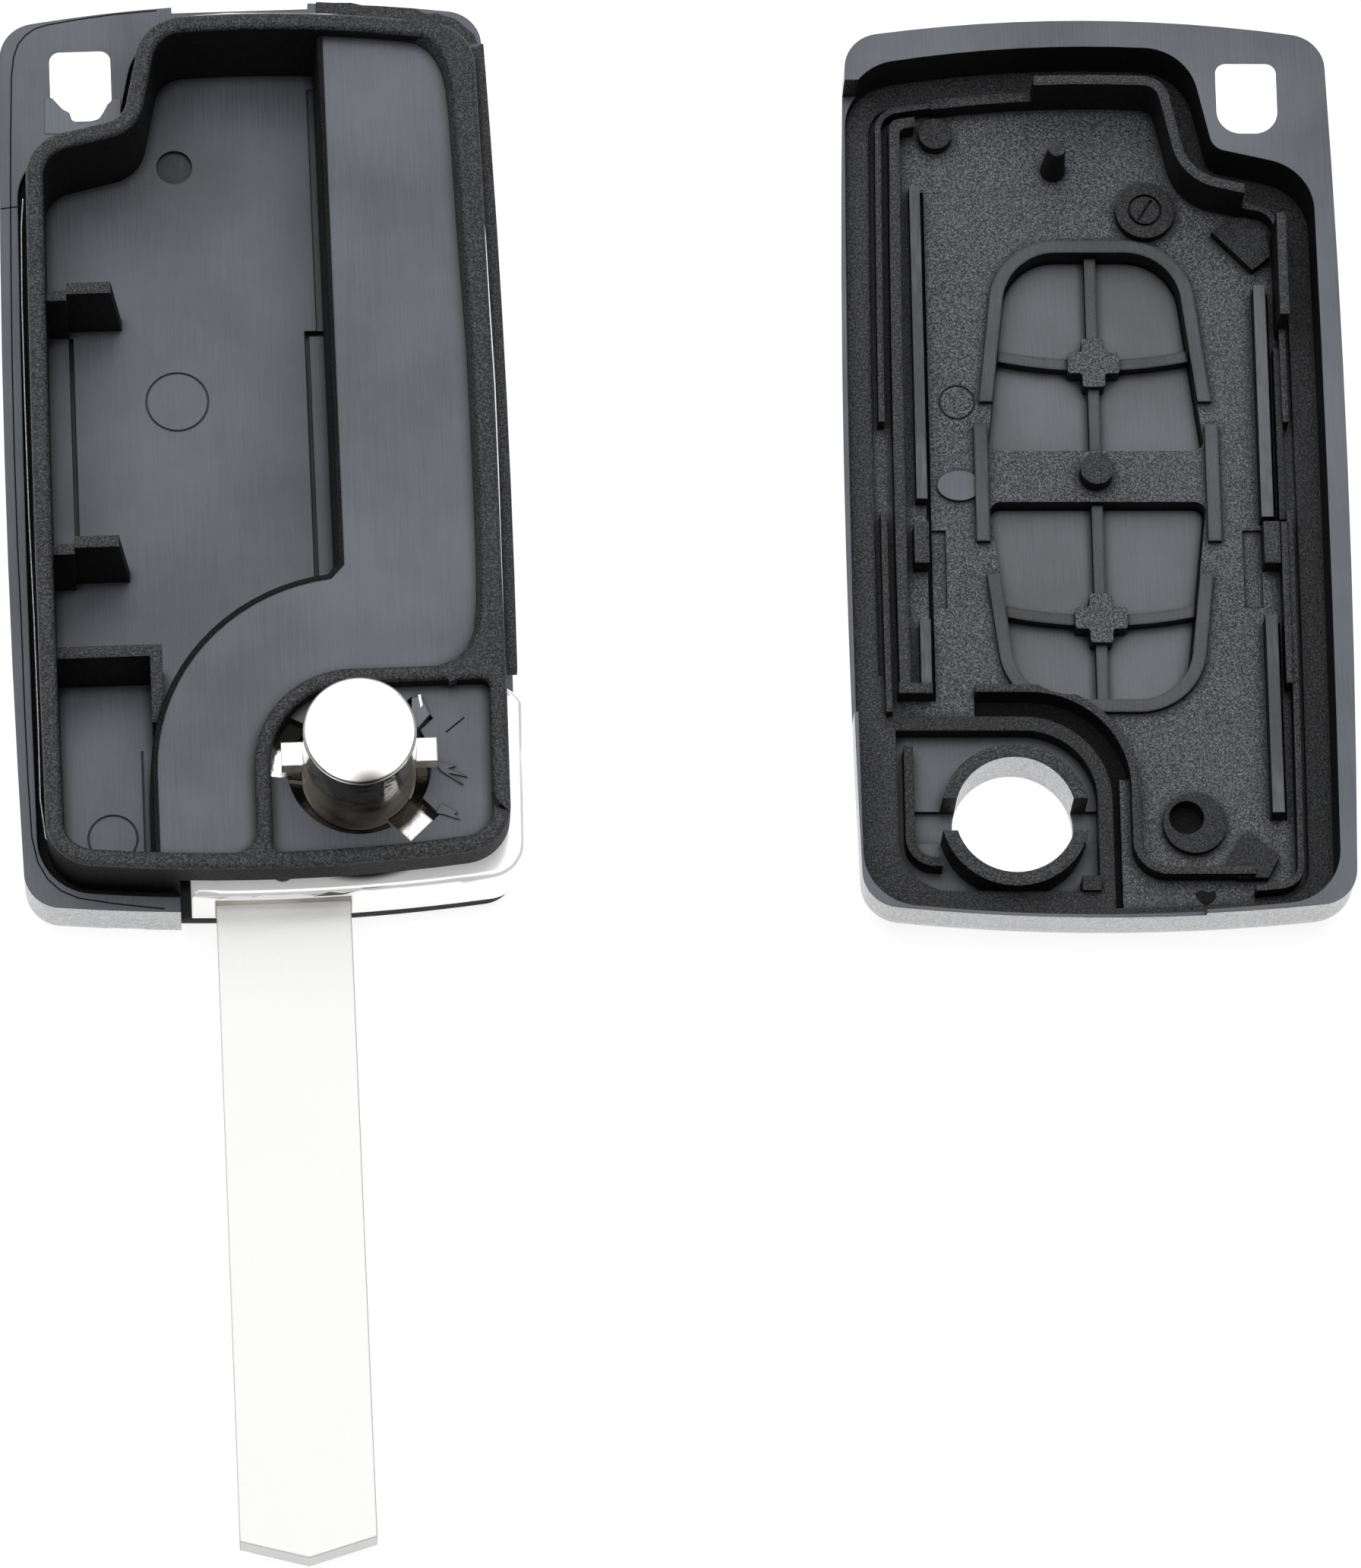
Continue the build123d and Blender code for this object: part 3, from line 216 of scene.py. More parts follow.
def makeGrainGroup():
    # Etched mould texture: pebbles and a finer speckle, as a height and as light specks, which stand
    # for the grain and for painted glints on it
    inputs = {"Pebbles": 2600.0, "Specks": 6500.0}
    group, into, out = newGroup("etchedGrain", inputs, ("Height", "Specks"))
    place = addNode(group, "ShaderNodeTexCoord")
    pebbles = addNode(group, "ShaderNodeTexVoronoi", feature="SMOOTH_F1")
    pebbles.inputs["Smoothness"].default_value = 0.6
    specks = addNode(group, "ShaderNodeTexNoise", Detail=2.0, Roughness=0.55, Distortion=0.7)
    softer = addNode(group, "ShaderNodeMath", operation="MULTIPLY")
    softer.inputs[1].default_value = 0.55
    height = addNode(group, "ShaderNodeMath", operation="SUBTRACT")
    light = addNode(group, "ShaderNodeMapRange")
    light.inputs["From Min"].default_value = 0.42
    light.inputs["From Max"].default_value = 0.66
    joinSockets(
        group,
        (place.outputs["Object"], pebbles.inputs["Vector"]),
        (place.outputs["Object"], specks.inputs["Vector"]),
        (into.outputs["Pebbles"], pebbles.inputs["Scale"]),
        (into.outputs["Specks"], specks.inputs["Scale"]),
        (pebbles.outputs["Distance"], softer.inputs[0]),
        (specks.outputs["Fac"], height.inputs[0]),
        (softer.outputs[0], height.inputs[1]),
        (height.outputs[0], out.inputs["Height"]),
        (specks.outputs["Fac"], light.inputs["Value"]),
        (light.outputs["Result"], out.inputs["Specks"]),
    )
    return group


def makeBrushGroup():
    # Fine lines left by polishing the mould along Y
    inputs = {"Fineness": 5200.0, "Stretch": 0.02}
    group, into, out = newGroup("polishLines", inputs, ("Lines", "Clouds"))
    place = addNode(group, "ShaderNodeTexCoord")
    squeeze = addNode(group, "ShaderNodeCombineXYZ", X=1.0, Z=1.0)
    scaled = addNode(group, "ShaderNodeVectorMath", operation="MULTIPLY")
    lines = addNode(group, "ShaderNodeTexNoise", Detail=2.0, Roughness=0.5)
    clouds = addNode(group, "ShaderNodeTexNoise", Scale=90.0, Detail=3.0, Roughness=0.55)
    joinSockets(
        group,
        (into.outputs["Stretch"], squeeze.inputs["Y"]),
        (place.outputs["Object"], scaled.inputs[0]),
        (squeeze.outputs[0], scaled.inputs[1]),
        (scaled.outputs[0], lines.inputs["Vector"]),
        (into.outputs["Fineness"], lines.inputs["Scale"]),
        (place.outputs["Object"], clouds.inputs["Vector"]),
        (lines.outputs["Fac"], out.inputs["Lines"]),
        (clouds.outputs["Fac"], out.inputs["Clouds"]),
    )
    return group


def makeEdgeGroup():
    # Rounded normal, and a mask of the narrow band along sharp edges, where plastics get a painted
    # highlight and metals a painted dark reflection line
    inputs = {"Width": 0.00018, "Breaks": 900.0, "Near": 0.74, "Far": 0.86}
    group, into, out = newGroup("paintedEdgeBand", inputs, ("Mask", "Normal"))
    rounded = addNode(group, "ShaderNodeBevel", samples=4)
    plain = addNode(group, "ShaderNodeNewGeometry")
    place = addNode(group, "ShaderNodeTexCoord")
    turned = addNode(group, "ShaderNodeVectorMath", operation="DOT_PRODUCT")
    band = addNode(group, "ShaderNodeMapRange")
    breaks = addNode(group, "ShaderNodeTexNoise", Detail=2.0)
    patchy = addNode(group, "ShaderNodeMath", operation="MULTIPLY")
    joinSockets(
        group,
        (into.outputs["Width"], rounded.inputs["Radius"]),
        (rounded.outputs["Normal"], turned.inputs[0]),
        (plain.outputs["Normal"], turned.inputs[1]),
        (turned.outputs["Value"], band.inputs["Value"]),
        (into.outputs["Far"], band.inputs["From Min"]),
        (into.outputs["Near"], band.inputs["From Max"]),
        (place.outputs["Object"], breaks.inputs["Vector"]),
        (into.outputs["Breaks"], breaks.inputs["Scale"]),
        (band.outputs["Result"], patchy.inputs[0]),
        (breaks.outputs["Fac"], patchy.inputs[1]),
        (patchy.outputs[0], out.inputs["Mask"]),
        (rounded.outputs["Normal"], out.inputs["Normal"]),
    )
    return group


def makeCreviceGroup():
    # Falls to nought in the feet of walls and ribs, where painted shade gathers
    group, into, out = newGroup("paintedCreviceShade", {"Reach": 0.0008, "Full": 0.5, "None": 0.93}, ("Open",))
    around = addNode(group, "ShaderNodeAmbientOcclusion", samples=6)
    opened = addNode(group, "ShaderNodeMapRange")
    joinSockets(
        group,
        (into.outputs["Reach"], around.inputs["Distance"]),
        (around.outputs["AO"], opened.inputs["Value"]),
        (into.outputs["Full"], opened.inputs["From Min"]),
        (into.outputs["None"], opened.inputs["From Max"]),
        (opened.outputs["Result"], out.inputs["Open"]),
    )
    return group


def makeRingGroup():
    # Rises from nought to one between two distances from a place on the frame's floor
    inputs = {"X": 0.0, "Y": 0.0, "Inner": 0.005, "Outer": 0.006}
    group, into, out = newGroup("ringMask", inputs, ("Mask",))
    place = addNode(group, "ShaderNodeTexCoord")
    centre = addNode(group, "ShaderNodeCombineXYZ")
    flat = addNode(group, "ShaderNodeVectorMath", operation="MULTIPLY")
    flat.inputs[1].default_value = (1, 1, 0)
    apart = addNode(group, "ShaderNodeVectorMath", operation="DISTANCE")
    band = addNode(group, "ShaderNodeMapRange", interpolation_type="SMOOTHSTEP")
    joinSockets(
        group,
        (into.outputs["X"], centre.inputs["X"]),
        (into.outputs["Y"], centre.inputs["Y"]),
        (place.outputs["Object"], flat.inputs[0]),
        (flat.outputs[0], apart.inputs[0]),
        (centre.outputs[0], apart.inputs[1]),
        (apart.outputs["Value"], band.inputs["Value"]),
        (into.outputs["Inner"], band.inputs["From Min"]),
        (into.outputs["Outer"], band.inputs["From Max"]),
        (band.outputs["Result"], out.inputs["Mask"]),
    )
    return group


grainGroup = makeGrainGroup()
brushGroup = makeBrushGroup()
edgeGroup = makeEdgeGroup()
creviceGroup = makeCreviceGroup()
ringGroup = makeRingGroup()
# Parts of the noises' range that are used
noiseBand = (0.3, 0.7)
cloudBand = (0.35, 0.65)
fullEdge = 0.4


def mixColours(tree, mask, low, high):
    mix = addNode(tree, "ShaderNodeMix", data_type="RGBA")
    for socket, value in ((mix.inputs[6], low), (mix.inputs[7], high)):
        if isinstance(value, tuple):
            socket.default_value = (*value, 1)
        else:
            tree.links.new(value, socket)
    tree.links.new(mask, mix.inputs[0])
    return mix.outputs[2]


def spread(tree, source, low, high, fromLow=0.0, fromHigh=1.0):
    part = addNode(tree, "ShaderNodeMapRange")
    part.inputs["From Min"].default_value = fromLow
    part.inputs["From Max"].default_value = fromHigh
    part.inputs["To Min"].default_value = low
    part.inputs["To Max"].default_value = high
    tree.links.new(source, part.inputs["Value"])
    return part.outputs["Result"]


def makePlastic(name, s):
    material = bpy.data.materials.new(name)
    material.use_nodes = True
    tree = material.node_tree
    shader = tree.nodes["Principled BSDF"]
    shader.inputs["Specular IOR Level"].default_value = s["gloss"]
    shader.inputs["IOR"].default_value = s["ior"]
    grain = addNode(tree, "ShaderNodeGroup", node_tree=grainGroup)
    grain.inputs["Pebbles"].default_value = s["pebbles"]
    grain.inputs["Specks"].default_value = s["specks"]
    brush = addNode(tree, "ShaderNodeGroup", node_tree=brushGroup)
    edges = addNode(tree, "ShaderNodeGroup", node_tree=edgeGroup)
    edges.inputs["Width"].default_value = s["round"]
    edges.inputs["Far"].default_value, edges.inputs["Near"].default_value = s["edgeBand"]
    brush.inputs["Fineness"].default_value = s["fineness"]
    brush.inputs["Stretch"].default_value = s["stretch"]
    lines = spread(tree, brush.outputs["Lines"], -s["lineTone"], s["lineTone"], *noiseBand)
    clouds = spread(tree, brush.outputs["Clouds"], -s["cloudTone"], s["cloudTone"], *noiseBand)
    tone = addNode(tree, "ShaderNodeMath", operation="ADD")
    shade = addNode(tree, "ShaderNodeMath", operation="ADD", use_clamp=True)
    shade.inputs[1].default_value = 0.5
    joinSockets(
        tree,
        (lines, tone.inputs[0]),
        (clouds, tone.inputs[1]),
        (tone.outputs[0], shade.inputs[0]),
    )
    base = mixColours(tree, shade.outputs[0], s["dark"], s["light"])
    # Painted light: inside the ring mask the colour is lifted toward a lighter tone
    if s["lift"]:
        ring = addNode(tree, "ShaderNodeGroup", node_tree=ringGroup)
        for label, value in s["lift"].items():
            ring.inputs[label].default_value = value
        paintedLitColour = mixColours(tree, shade.outputs[0], s["light"], s["paintedLitColour"])
        base = mixColours(tree, ring.outputs["Mask"], paintedLitColour, base)
    specks = spread(tree, grain.outputs["Specks"], 0.0, s["speckTone"])
    speckled = mixColours(tree, specks, base, s["speck"])
    # Painted highlight: sharp edges are lightened toward the speck colour
    paintedEdgeAmount = spread(tree, edges.outputs["Mask"], 0.0, s["edgeTone"])
    paintedLightBase = mixColours(tree, paintedEdgeAmount, speckled, s["speck"])
    # Painted shade: crevices darken toward the crevice shade colour
    if s["crevice"]:
        crevice = addNode(tree, "ShaderNodeGroup", node_tree=creviceGroup)
        crevice.inputs["Reach"].default_value = s["crevice"]
        paintedLightBase = mixColours(tree, crevice.outputs["Open"], s["creviceShade"], paintedLightBase)
    tree.links.new(paintedLightBase, shader.inputs["Base Color"])
    # Painted light: a glow in the speck colour, strongest on flanks and hole walls
    shader.inputs["Emission Color"].default_value = (*s["speck"], 1)
    shader.inputs["Emission Strength"].default_value = s["glow"]
    rough = spread(tree, brush.outputs["Lines"], *s["rough"], *noiseBand)
    tree.links.new(rough, shader.inputs["Roughness"])
    grained = addNode(tree, "ShaderNodeBump")
    grained.inputs["Strength"].default_value = s["grainStrength"]
    grained.inputs["Distance"].default_value = s["grainDepth"]
    lined = addNode(tree, "ShaderNodeBump")
    lined.inputs["Strength"].default_value = s["lineStrength"]
    lined.inputs["Distance"].default_value = s["lineDepth"]
    joinSockets(
        tree,
        (edges.outputs["Normal"], grained.inputs["Normal"]),
        (grain.outputs["Height"], grained.inputs["Height"]),
        (grained.outputs["Normal"], lined.inputs["Normal"]),
        (brush.outputs["Lines"], lined.inputs["Height"]),
        (lined.outputs["Normal"], shader.inputs["Normal"]),
    )
    return material


# Smooth faces of the mould: floors, roof and rims
satinSettings = {
    "dark": (0.098, 0.105, 0.121),
    "light": (0.168, 0.181, 0.210),
    "speck": (0.26, 0.265, 0.28),
    # Colour of the painted shade in crevices
    "creviceShade": (0.006, 0.006, 0.006),
    "crevice": 0.0009,
    "lift": {},
    "paintedLitColour": (0.30, 0.323, 0.375),
    "glow": 0.0,
    "gloss": 0.5,
    "ior": 1.45,
    "rough": (0.36, 0.50),
    "pebbles": 2600.0,
    "specks": 5200.0,
    "speckTone": 0.05,
    "fineness": 7500.0,
    "stretch": 0.03,
    "lineTone": 0.26,
    "cloudTone": 0.50,
    "edgeBand": (0.95, 0.80),
    "edgeTone": 0.5,
    "round": 0.00012,
    "grainStrength": 0.12,
    "grainDepth": 0.00004,
    "lineStrength": 0.2,
    "lineDepth": 0.00003,
}
# Bay floor, with painted light making it lighter towards the blade end
baySettings = dict(
    satinSettings,
    lift={"X": -0.0175, "Y": -0.001, "Inner": 0.006, "Outer": 0.014},
)
# Thin flakes and films, which lie free
flakeSettings = dict(satinSettings, dark=(0.13, 0.14, 0.165), light=(0.22, 0.237, 0.275), crevice=0)
# Leathery texture of the walls' tops
leatherSettings = dict(
    satinSettings,
    dark=(0.008, 0.008, 0.009),
    light=(0.020, 0.020, 0.022),
    speck=(0.19, 0.194, 0.211),
    crevice=0.0005,
    rough=(0.36, 0.48),
    specks=7000.0,
    speckTone=0.6,
    lineTone=0.05,
    pebbles=4200.0,
    grainStrength=1.0,
    grainDepth=0.00012,
    lineStrength=0.0,
    round=0.00045,
    edgeBand=(0.88, 0.74),
    edgeTone=0.6,
)
# The same texture low down between the ribs, darker there with painted shade
deepSettings = dict(
    leatherSettings,
    dark=(0.005, 0.005, 0.005),
    light=(0.012, 0.012, 0.013),
    speck=(0.11, 0.112, 0.122),
    round=0.00025,
)
# Sides of walls and ribs, a darker copy of the plastic with their shade painted in
shadeSettings = dict(
    leatherSettings,
    dark=(0.006, 0.006, 0.006),
    light=(0.013, 0.013, 0.013),
    speck=(0.05, 0.05, 0.052),
    speckTone=0.2,
    crevice=0,
    gloss=0.18,
    rough=(0.5, 0.65),
    round=0.0002,
    edgeTone=0.7,
)
# Spark texture inside the cover
sparkSettings = dict(
    leatherSettings,
    dark=(0.010, 0.010, 0.012),
    light=(0.034, 0.035, 0.039),
    speck=(0.25, 0.257, 0.283),
    speckTone=1.0,
    crevice=0.0008,
    cloudTone=0.6,
    rough=(0.42, 0.55),
    specks=7600.0,
    round=0.0002,
    grainDepth=0.00008,
)
# Polished rails, streaked along
railSettings = dict(
    satinSettings,
    dark=(0.040, 0.042, 0.046),
    light=(0.125, 0.131, 0.146),
    lineTone=0.5,
    cloudTone=1.0,
    fineness=4200.0,
    stretch=0.12,
    rough=(0.22, 0.45),
    lineStrength=0.6,
)
# Sunk dot in the bay's floor
dimSettings = dict(
    satinSettings,
    dark=(0.022, 0.023, 0.025),
    light=(0.060, 0.063, 0.069),
    lineTone=0.5,
)
# Outer sides, which mirror the white table; the table's reflection is also painted into their light
# colour, white specks and glow
flankSettings = dict(
    leatherSettings,
    dark=(0.30, 0.305, 0.335),
    light=(0.46, 0.468, 0.51),
    speck=(1.0, 1.0, 1.0),
    speckTone=1.0,
    crevice=0,
    glow=0.12,
    ior=2.3,
    rough=(0.25, 0.36),
    specks=4200.0,
    grainStrength=0.5,
    round=0.0002,
    edgeTone=0.0,
)
# Walls of the through holes, painted near white with a glow for the light they reflect
holeSettings = dict(flankSettings, dark=(0.85, 0.86, 0.88), light=(0.92, 0.93, 0.95), glow=0.45)
# Faces of the soft keys
keySettings = dict(
    satinSettings,
    dark=(0.112, 0.118, 0.130),
    light=(0.184, 0.194, 0.216),
    rough=(0.40, 0.52),
    crevice=0.0007,
)
# Lips round the key windows, and the keys' ribs
lipSettings = dict(
    leatherSettings,
    dark=(0.045, 0.047, 0.052),
    light=(0.105, 0.109, 0.121),
    lineTone=0.3,
    cloudTone=0.6,
    speckTone=0.12,
    grainStrength=0.4,
    round=0.0003,
)
satinPlastic = makePlastic("satinPlastic", satinSettings)
bayPlastic = makePlastic("bayPlastic", baySettings)
flakePlastic = makePlastic("flakePlastic", flakeSettings)
lipPlastic = makePlastic("lipPlastic", lipSettings)
leatherPlastic = makePlastic("leatherPlastic", leatherSettings)
deepPlastic = makePlastic("deepPlastic", deepSettings)
shadePlastic = makePlastic("shadePlastic", shadeSettings)
sparkPlastic = makePlastic("sparkPlastic", sparkSettings)
railPlastic = makePlastic("railPlastic", railSettings)
dimPlastic = makePlastic("dimPlastic", dimSettings)
flankPlastic = makePlastic("flankPlastic", flankSettings)
holePlastic = makePlastic("holePlastic", holeSettings)
softKey = makePlastic("softKey", keySettings)


def makeMetal(name, s):
    material = bpy.data.materials.new(name)
    material.use_nodes = True
    tree = material.node_tree
    shader = tree.nodes["Principled BSDF"]
    shader.inputs["Metallic"].default_value = s["metallic"]
    # Painted light: the metal glows in its own colour
    shader.inputs["Emission Strength"].default_value = s["glow"]
    brush = addNode(tree, "ShaderNodeGroup", node_tree=brushGroup)
    brush.inputs["Fineness"].default_value = s["fineness"]
    brush.inputs["Stretch"].default_value = s["stretch"]
    clouds = spread(tree, brush.outputs["Clouds"], 0.0, 1.0, *cloudBand)
    colour = mixColours(tree, clouds, s["dark"], s["light"])
    edges = addNode(tree, "ShaderNodeGroup", node_tree=edgeGroup)
    edges.inputs["Width"].default_value = s["round"]
    edges.inputs["Far"].default_value, edges.inputs["Near"].default_value = s["edgeBand"]
    # Painted dark reflection lines along sharp edges, in the edge colour
    paintedEdgeAmount = spread(tree, edges.outputs["Mask"], 0.0, s["edgeTone"], 0.0, fullEdge)
    colour = mixColours(tree, paintedEdgeAmount, colour, s["edge"])
    # Inside a ring the colour turns to the inside colour: painted shade on the hub and the holder's
    # top, a darker patch on the button's top
    if s["ring"]:
        ring = addNode(tree, "ShaderNodeGroup", node_tree=ringGroup)
        for label, value in s["ring"].items():
            ring.inputs[label].default_value = value
        colour = mixColours(tree, ring.outputs["Mask"], s["inside"], colour)
    rough = spread(tree, brush.outputs["Clouds"], *s["rough"], *cloudBand)
    bump = addNode(tree, "ShaderNodeBump")
    bump.inputs["Strength"].default_value = s["strength"]
    bump.inputs["Distance"].default_value = s["depth"]
    joinSockets(
        tree,
        (colour, shader.inputs["Base Color"]),
        (colour, shader.inputs["Emission Color"]),
        (rough, shader.inputs["Roughness"]),
        (edges.outputs["Normal"], bump.inputs["Normal"]),
        (brush.outputs["Lines"], bump.inputs["Height"]),
        (bump.outputs["Normal"], shader.inputs["Normal"]),
    )
    return material


chromeSettings = {
    "metallic": 1.0,
    "glow": 0.0,
    # edge: colour of painted dark reflection lines; inside: colour within a ring, painted shade on the
    # hub and holder top
    "edge": (0.05, 0.045, 0.04),
    "edgeBand": (0.90, 0.74),
    "edgeTone": 0.0,
    "ring": {},
    "inside": (0.03, 0.026, 0.022),
    "dark": (0.80, 0.79, 0.77),
    "light": (0.87, 0.87, 0.86),
    "rough": (0.05, 0.11),
    "fineness": 1500.0,
    "stretch": 1.0,
    "round": 0.00025,
    "strength": 0.10,
    "depth": 0.00003,
}
# Sides of the button and the hub's neck, which mirror the dark plastic round them; that reflection is
# painted into their colour, streaks and glow
darkChromeSettings = dict(
    chromeSettings,
    metallic=0.75,
    glow=0.16,
    dark=(0.03, 0.026, 0.022),
    light=(0.60, 0.55, 0.48),
    rough=(0.10, 0.24),
    fineness=1400.0,
    strength=0.6,
    depth=0.00006,
)
# Hub and its lugs: painted shade under the button, bright further out, with painted dark reflection
# lines at edges
hubSettings = dict(
    chromeSettings,
    ring={"Inner": 0.0052, "Outer": 0.0060},
    strength=0.5,
    depth=0.00005,
    rough=(0.08, 0.2),
    edgeTone=0.6,
)
# Bar and band, evenly bright with a painted glow, and thin painted dark reflection lines at their edges
plateSettings = dict(
    chromeSettings,
    metallic=0.5,
    glow=0.35,
    dark=(0.88, 0.875, 0.865),
    light=(0.94, 0.94, 0.935),
    rough=(0.10, 0.22),
    edgeTone=0.8,
    round=0.0002,
)
# Top of the holder, with painted shade within the hub's recess
padSettings = dict(plateSettings, ring={"Inner": 0.0076, "Outer": 0.0083})
# Top of the button, darker by its lower edge
topSettings = dict(
    chromeSettings,
    ring={"X": 0.0006, "Y": -0.0048, "Inner": 0.0006, "Outer": 0.0026},
    inside=(0.06, 0.05, 0.045),
)
# Blade: a painted glow, and painted dark reflection lines along its edges
bladeSettings = dict(
    chromeSettings,
    metallic=0.25,
    glow=0.09,
    dark=(0.88, 0.875, 0.86),
    light=(0.90, 0.895, 0.88),
    rough=(0.24, 0.32),
    fineness=4200.0,
    stretch=0.35,
    round=0.0002,
    strength=0.14,
    edgeTone=0.9,
)
springSettings = dict(
    chromeSettings,
    dark=(0.42, 0.41, 0.40),
    light=(0.60, 0.59, 0.57),
    rough=(0.22, 0.34),
)
darkChrome = makeMetal("darkChrome", darkChromeSettings)
hubChrome = makeMetal("hubChrome", hubSettings)
plateChrome = makeMetal("plateChrome", plateSettings)
padChrome = makeMetal("padChrome", padSettings)
topChrome = makeMetal("topChrome", topSettings)
nickelBlade = makeMetal("nickelBlade", bladeSettings)
springSteel = makeMetal("springSteel", springSettings)
print("materials made")

# Outline of the closed shell, and where the cover lies, in mm
shellOutline = {"left": -25.3, "right": 12.15, "low": -8.95, "top": 62.5}
coverPlace = {"x": 48.44, "y": -4.04, "turn": 2.06}
finishes = {
    "satin": satinPlastic,
    "bay": bayPlastic,
    "leather": leatherPlastic,
    "shade": shadePlastic,
    "spark": sparkPlastic,
    "lip": lipPlastic,
    "flank": flankPlastic,
    "deep": deepPlastic,
    "rail": railPlastic,
    "dim": dimPlastic,
    "hole": holePlastic,
}
anyHeight = 99
# Finish of the upward faces: up to each height in mm, that finish
caseLooks = {
    "levels": (
        (4.0, "bay"),
        # The groove's floor gets painted shade
        (5.5, "shade"),
        (5.95, "satin"),
        (8.9, "leather"),
        (9.3, "satin"),
        (anyHeight, "leather"),
    ),
    "roof": (8.9, 9.3),
    "hooks": -15.0,
    "edgeStrip": 10.9,
    "flankTop": 4.7,
    "bar": (-13.5, -7.5, 1.5),
    "hole": (-18.75, 56.1, 2.6, 3.15),
    "buttonHole": 0.0,
    "dot": (-11.9, 51.2, 1.5),
}
coverLooks = {
    "levels": (
        (1.45, "satin"),
        # The trench's floor gets painted shade
        (1.7, "shade"),
        (2.55, "spark"),
        (2.8, "satin"),
        (2.95, "lip"),
        # Low leathery faces get the darker deep finish, painted shade
        (3.85, "deep"),
        (3.95, "rail"),
        (7.4, "leather"),
        (anyHeight, "satin"),
    ),
    "boss": (-12.8, 0.2, 1.5, 2.0),
    "brightRail": (4.25, -20.4, -18.9),
    "cutRim": (4.45, 10.0),
    "lowRim": (7.05, 9.5),
    "sideBand": 9.5,
    "flankTop": 7.8,
    "bar": (anyHeight, 0, 0),
    "hole": (-18.75, 56.1, 2.6, 3.15),
    "buttonHole": 4.6,
}
# How far inside the outline a flank may lie, in mm, and the least upward lean of each kind of face
flankReach = 2.2
slopes = {"flatTop": 0.75, "rounded": 0.2, "keyTop": 0.3, "plate": 0.9, "hubTop": 0.5}
railHeight = 0.1
print("finishes listed")


def caseTop(x, y, height, s):
    roofLow, roofHigh = s["roof"]
    if roofLow < height < roofHigh and (x < s["hooks"] or x > s["edgeStrip"]):
        return "leather"
    dotX, dotY, reach = s["dot"]
    if math.hypot(x - dotX, y - dotY) < reach:
        return "dim"
    return next(finish for top, finish in s["levels"] if height < top)


def coverTop(x, y, height, s):
    bossX, bossY, bossReach, bossTop = s["boss"]
    railLow, railLeft, railRight = s["brightRail"]
    cutLow, cutSide = s["cutRim"]
    endLow, endSide = s["lowRim"]
    # The boss's hole floor gets painted shade
    if math.hypot(x - bossX, y - bossY) < bossReach and height < bossTop:
        return "shade"
    if height > cutLow and x > cutSide or height > endLow and y < endSide:
        return "satin"
    if railLow < height < railLow + railHeight and railLeft < x < railRight:
        return "rail"
    finish = next(finish for top, finish in s["levels"] if height < top)
    return "leather" if finish == "deep" and x > s["sideBand"] else finish


def dress(name, *materials):
    node = nodes[name]
    node.data.materials.clear()
    for material in materials:
        node.data.materials.append(material)
    return node


def isFlank(x, y, height, across, along, s):
    # A side face is a flank where it faces outwards close to the shell's outline
    middleX = (shellOutline["left"] + shellOutline["right"]) / 2
    middleY = (shellOutline["low"] + shellOutline["top"]) / 2
    outwards = across * (x - middleX) + along * (y - middleY) > 0
    sideGap = min(x - shellOutline["left"], shellOutline["right"] - x)
    endGap = min(y - shellOutline["low"], shellOutline["top"] - y)
    barLeft, barTop, barHeight = s["bar"]
    # Under the bar a face keeps the shade finish, painted shade
    underBar = x > barLeft and y < barTop and height < barHeight
    return outwards and min(sideGap, endGap) < flankReach and height < s["flankTop"] and not underBar


def nearHole(x, y, s):
    holeX, holeY, halfWidth, halfLength = s["hole"]
    return abs(x - holeX) < halfWidth and abs(y - holeY) < halfLength


def dressHalf(name, s, topFinish, toClosed):
    order = list(finishes)
    node = dress(name, *finishes.values())
    for face in node.data.polygons:
        height = face.center.z / mm
        x, y = toClosed(face.center.x / mm, face.center.y / mm, 1)
        across, along = toClosed(face.normal.x, face.normal.y, 0)
        if face.normal.z > slopes["flatTop"]:
            finish = topFinish(x, y, height, s)
        # Hole walls and flanks get painted reflected light, and the remaining steep sides the shade
        # finish, painted shade
        elif nearHole(x, y, s):
            finish = "hole"
        elif isFlank(x, y, height, across, along, s) or math.hypot(x, y) < s["buttonHole"]:
            finish = "flank"
        elif face.normal.z > slopes["rounded"]:
            finish = "leather"
        else:
            finish = "shade"
        face.material_index = order.index(finish)


def caseAsItIs(x, y, shift):
    return x, y


def coverToClosed(x, y, shift):
    x -= shift * coverPlace["x"]
    y -= shift * coverPlace["y"]
    turn = math.radians(coverPlace["turn"])
    return -x * math.cos(turn) + y * math.sin(turn), x * math.sin(turn) + y * math.cos(turn)


dressHalf("rear_case", caseLooks, caseTop, caseAsItIs)
dressHalf("front_cover", coverLooks, coverTop, coverToClosed)


def dressTops(name, side, *tops):
    # One finish on the sides, and on upward faces another up to each height in mm
    node = dress(name, side, *(finish for height, finish in tops))
    for face in node.data.polygons:
        if face.normal.z < slopes["keyTop"]:
            face.material_index = 0
        else:
            reached = (i for i, (height, finish) in enumerate(tops) if face.center.z / mm < height)
            face.material_index = 1 + next(reached)


# Key sides get the shade finish, painted shade; the button's sides darkChrome, a painted dark
# reflection
keyTops = ((1.2, softKey), (2.2, lipPlastic), (anyHeight, sparkPlastic))
buttonTops = ((12, plateChrome), (anyHeight, topChrome))
for keyName in ("upper_key", "lower_key"):
    dressTops(keyName, shadePlastic, *keyTops)
dressTops("release_button", darkChrome, *buttonTops)


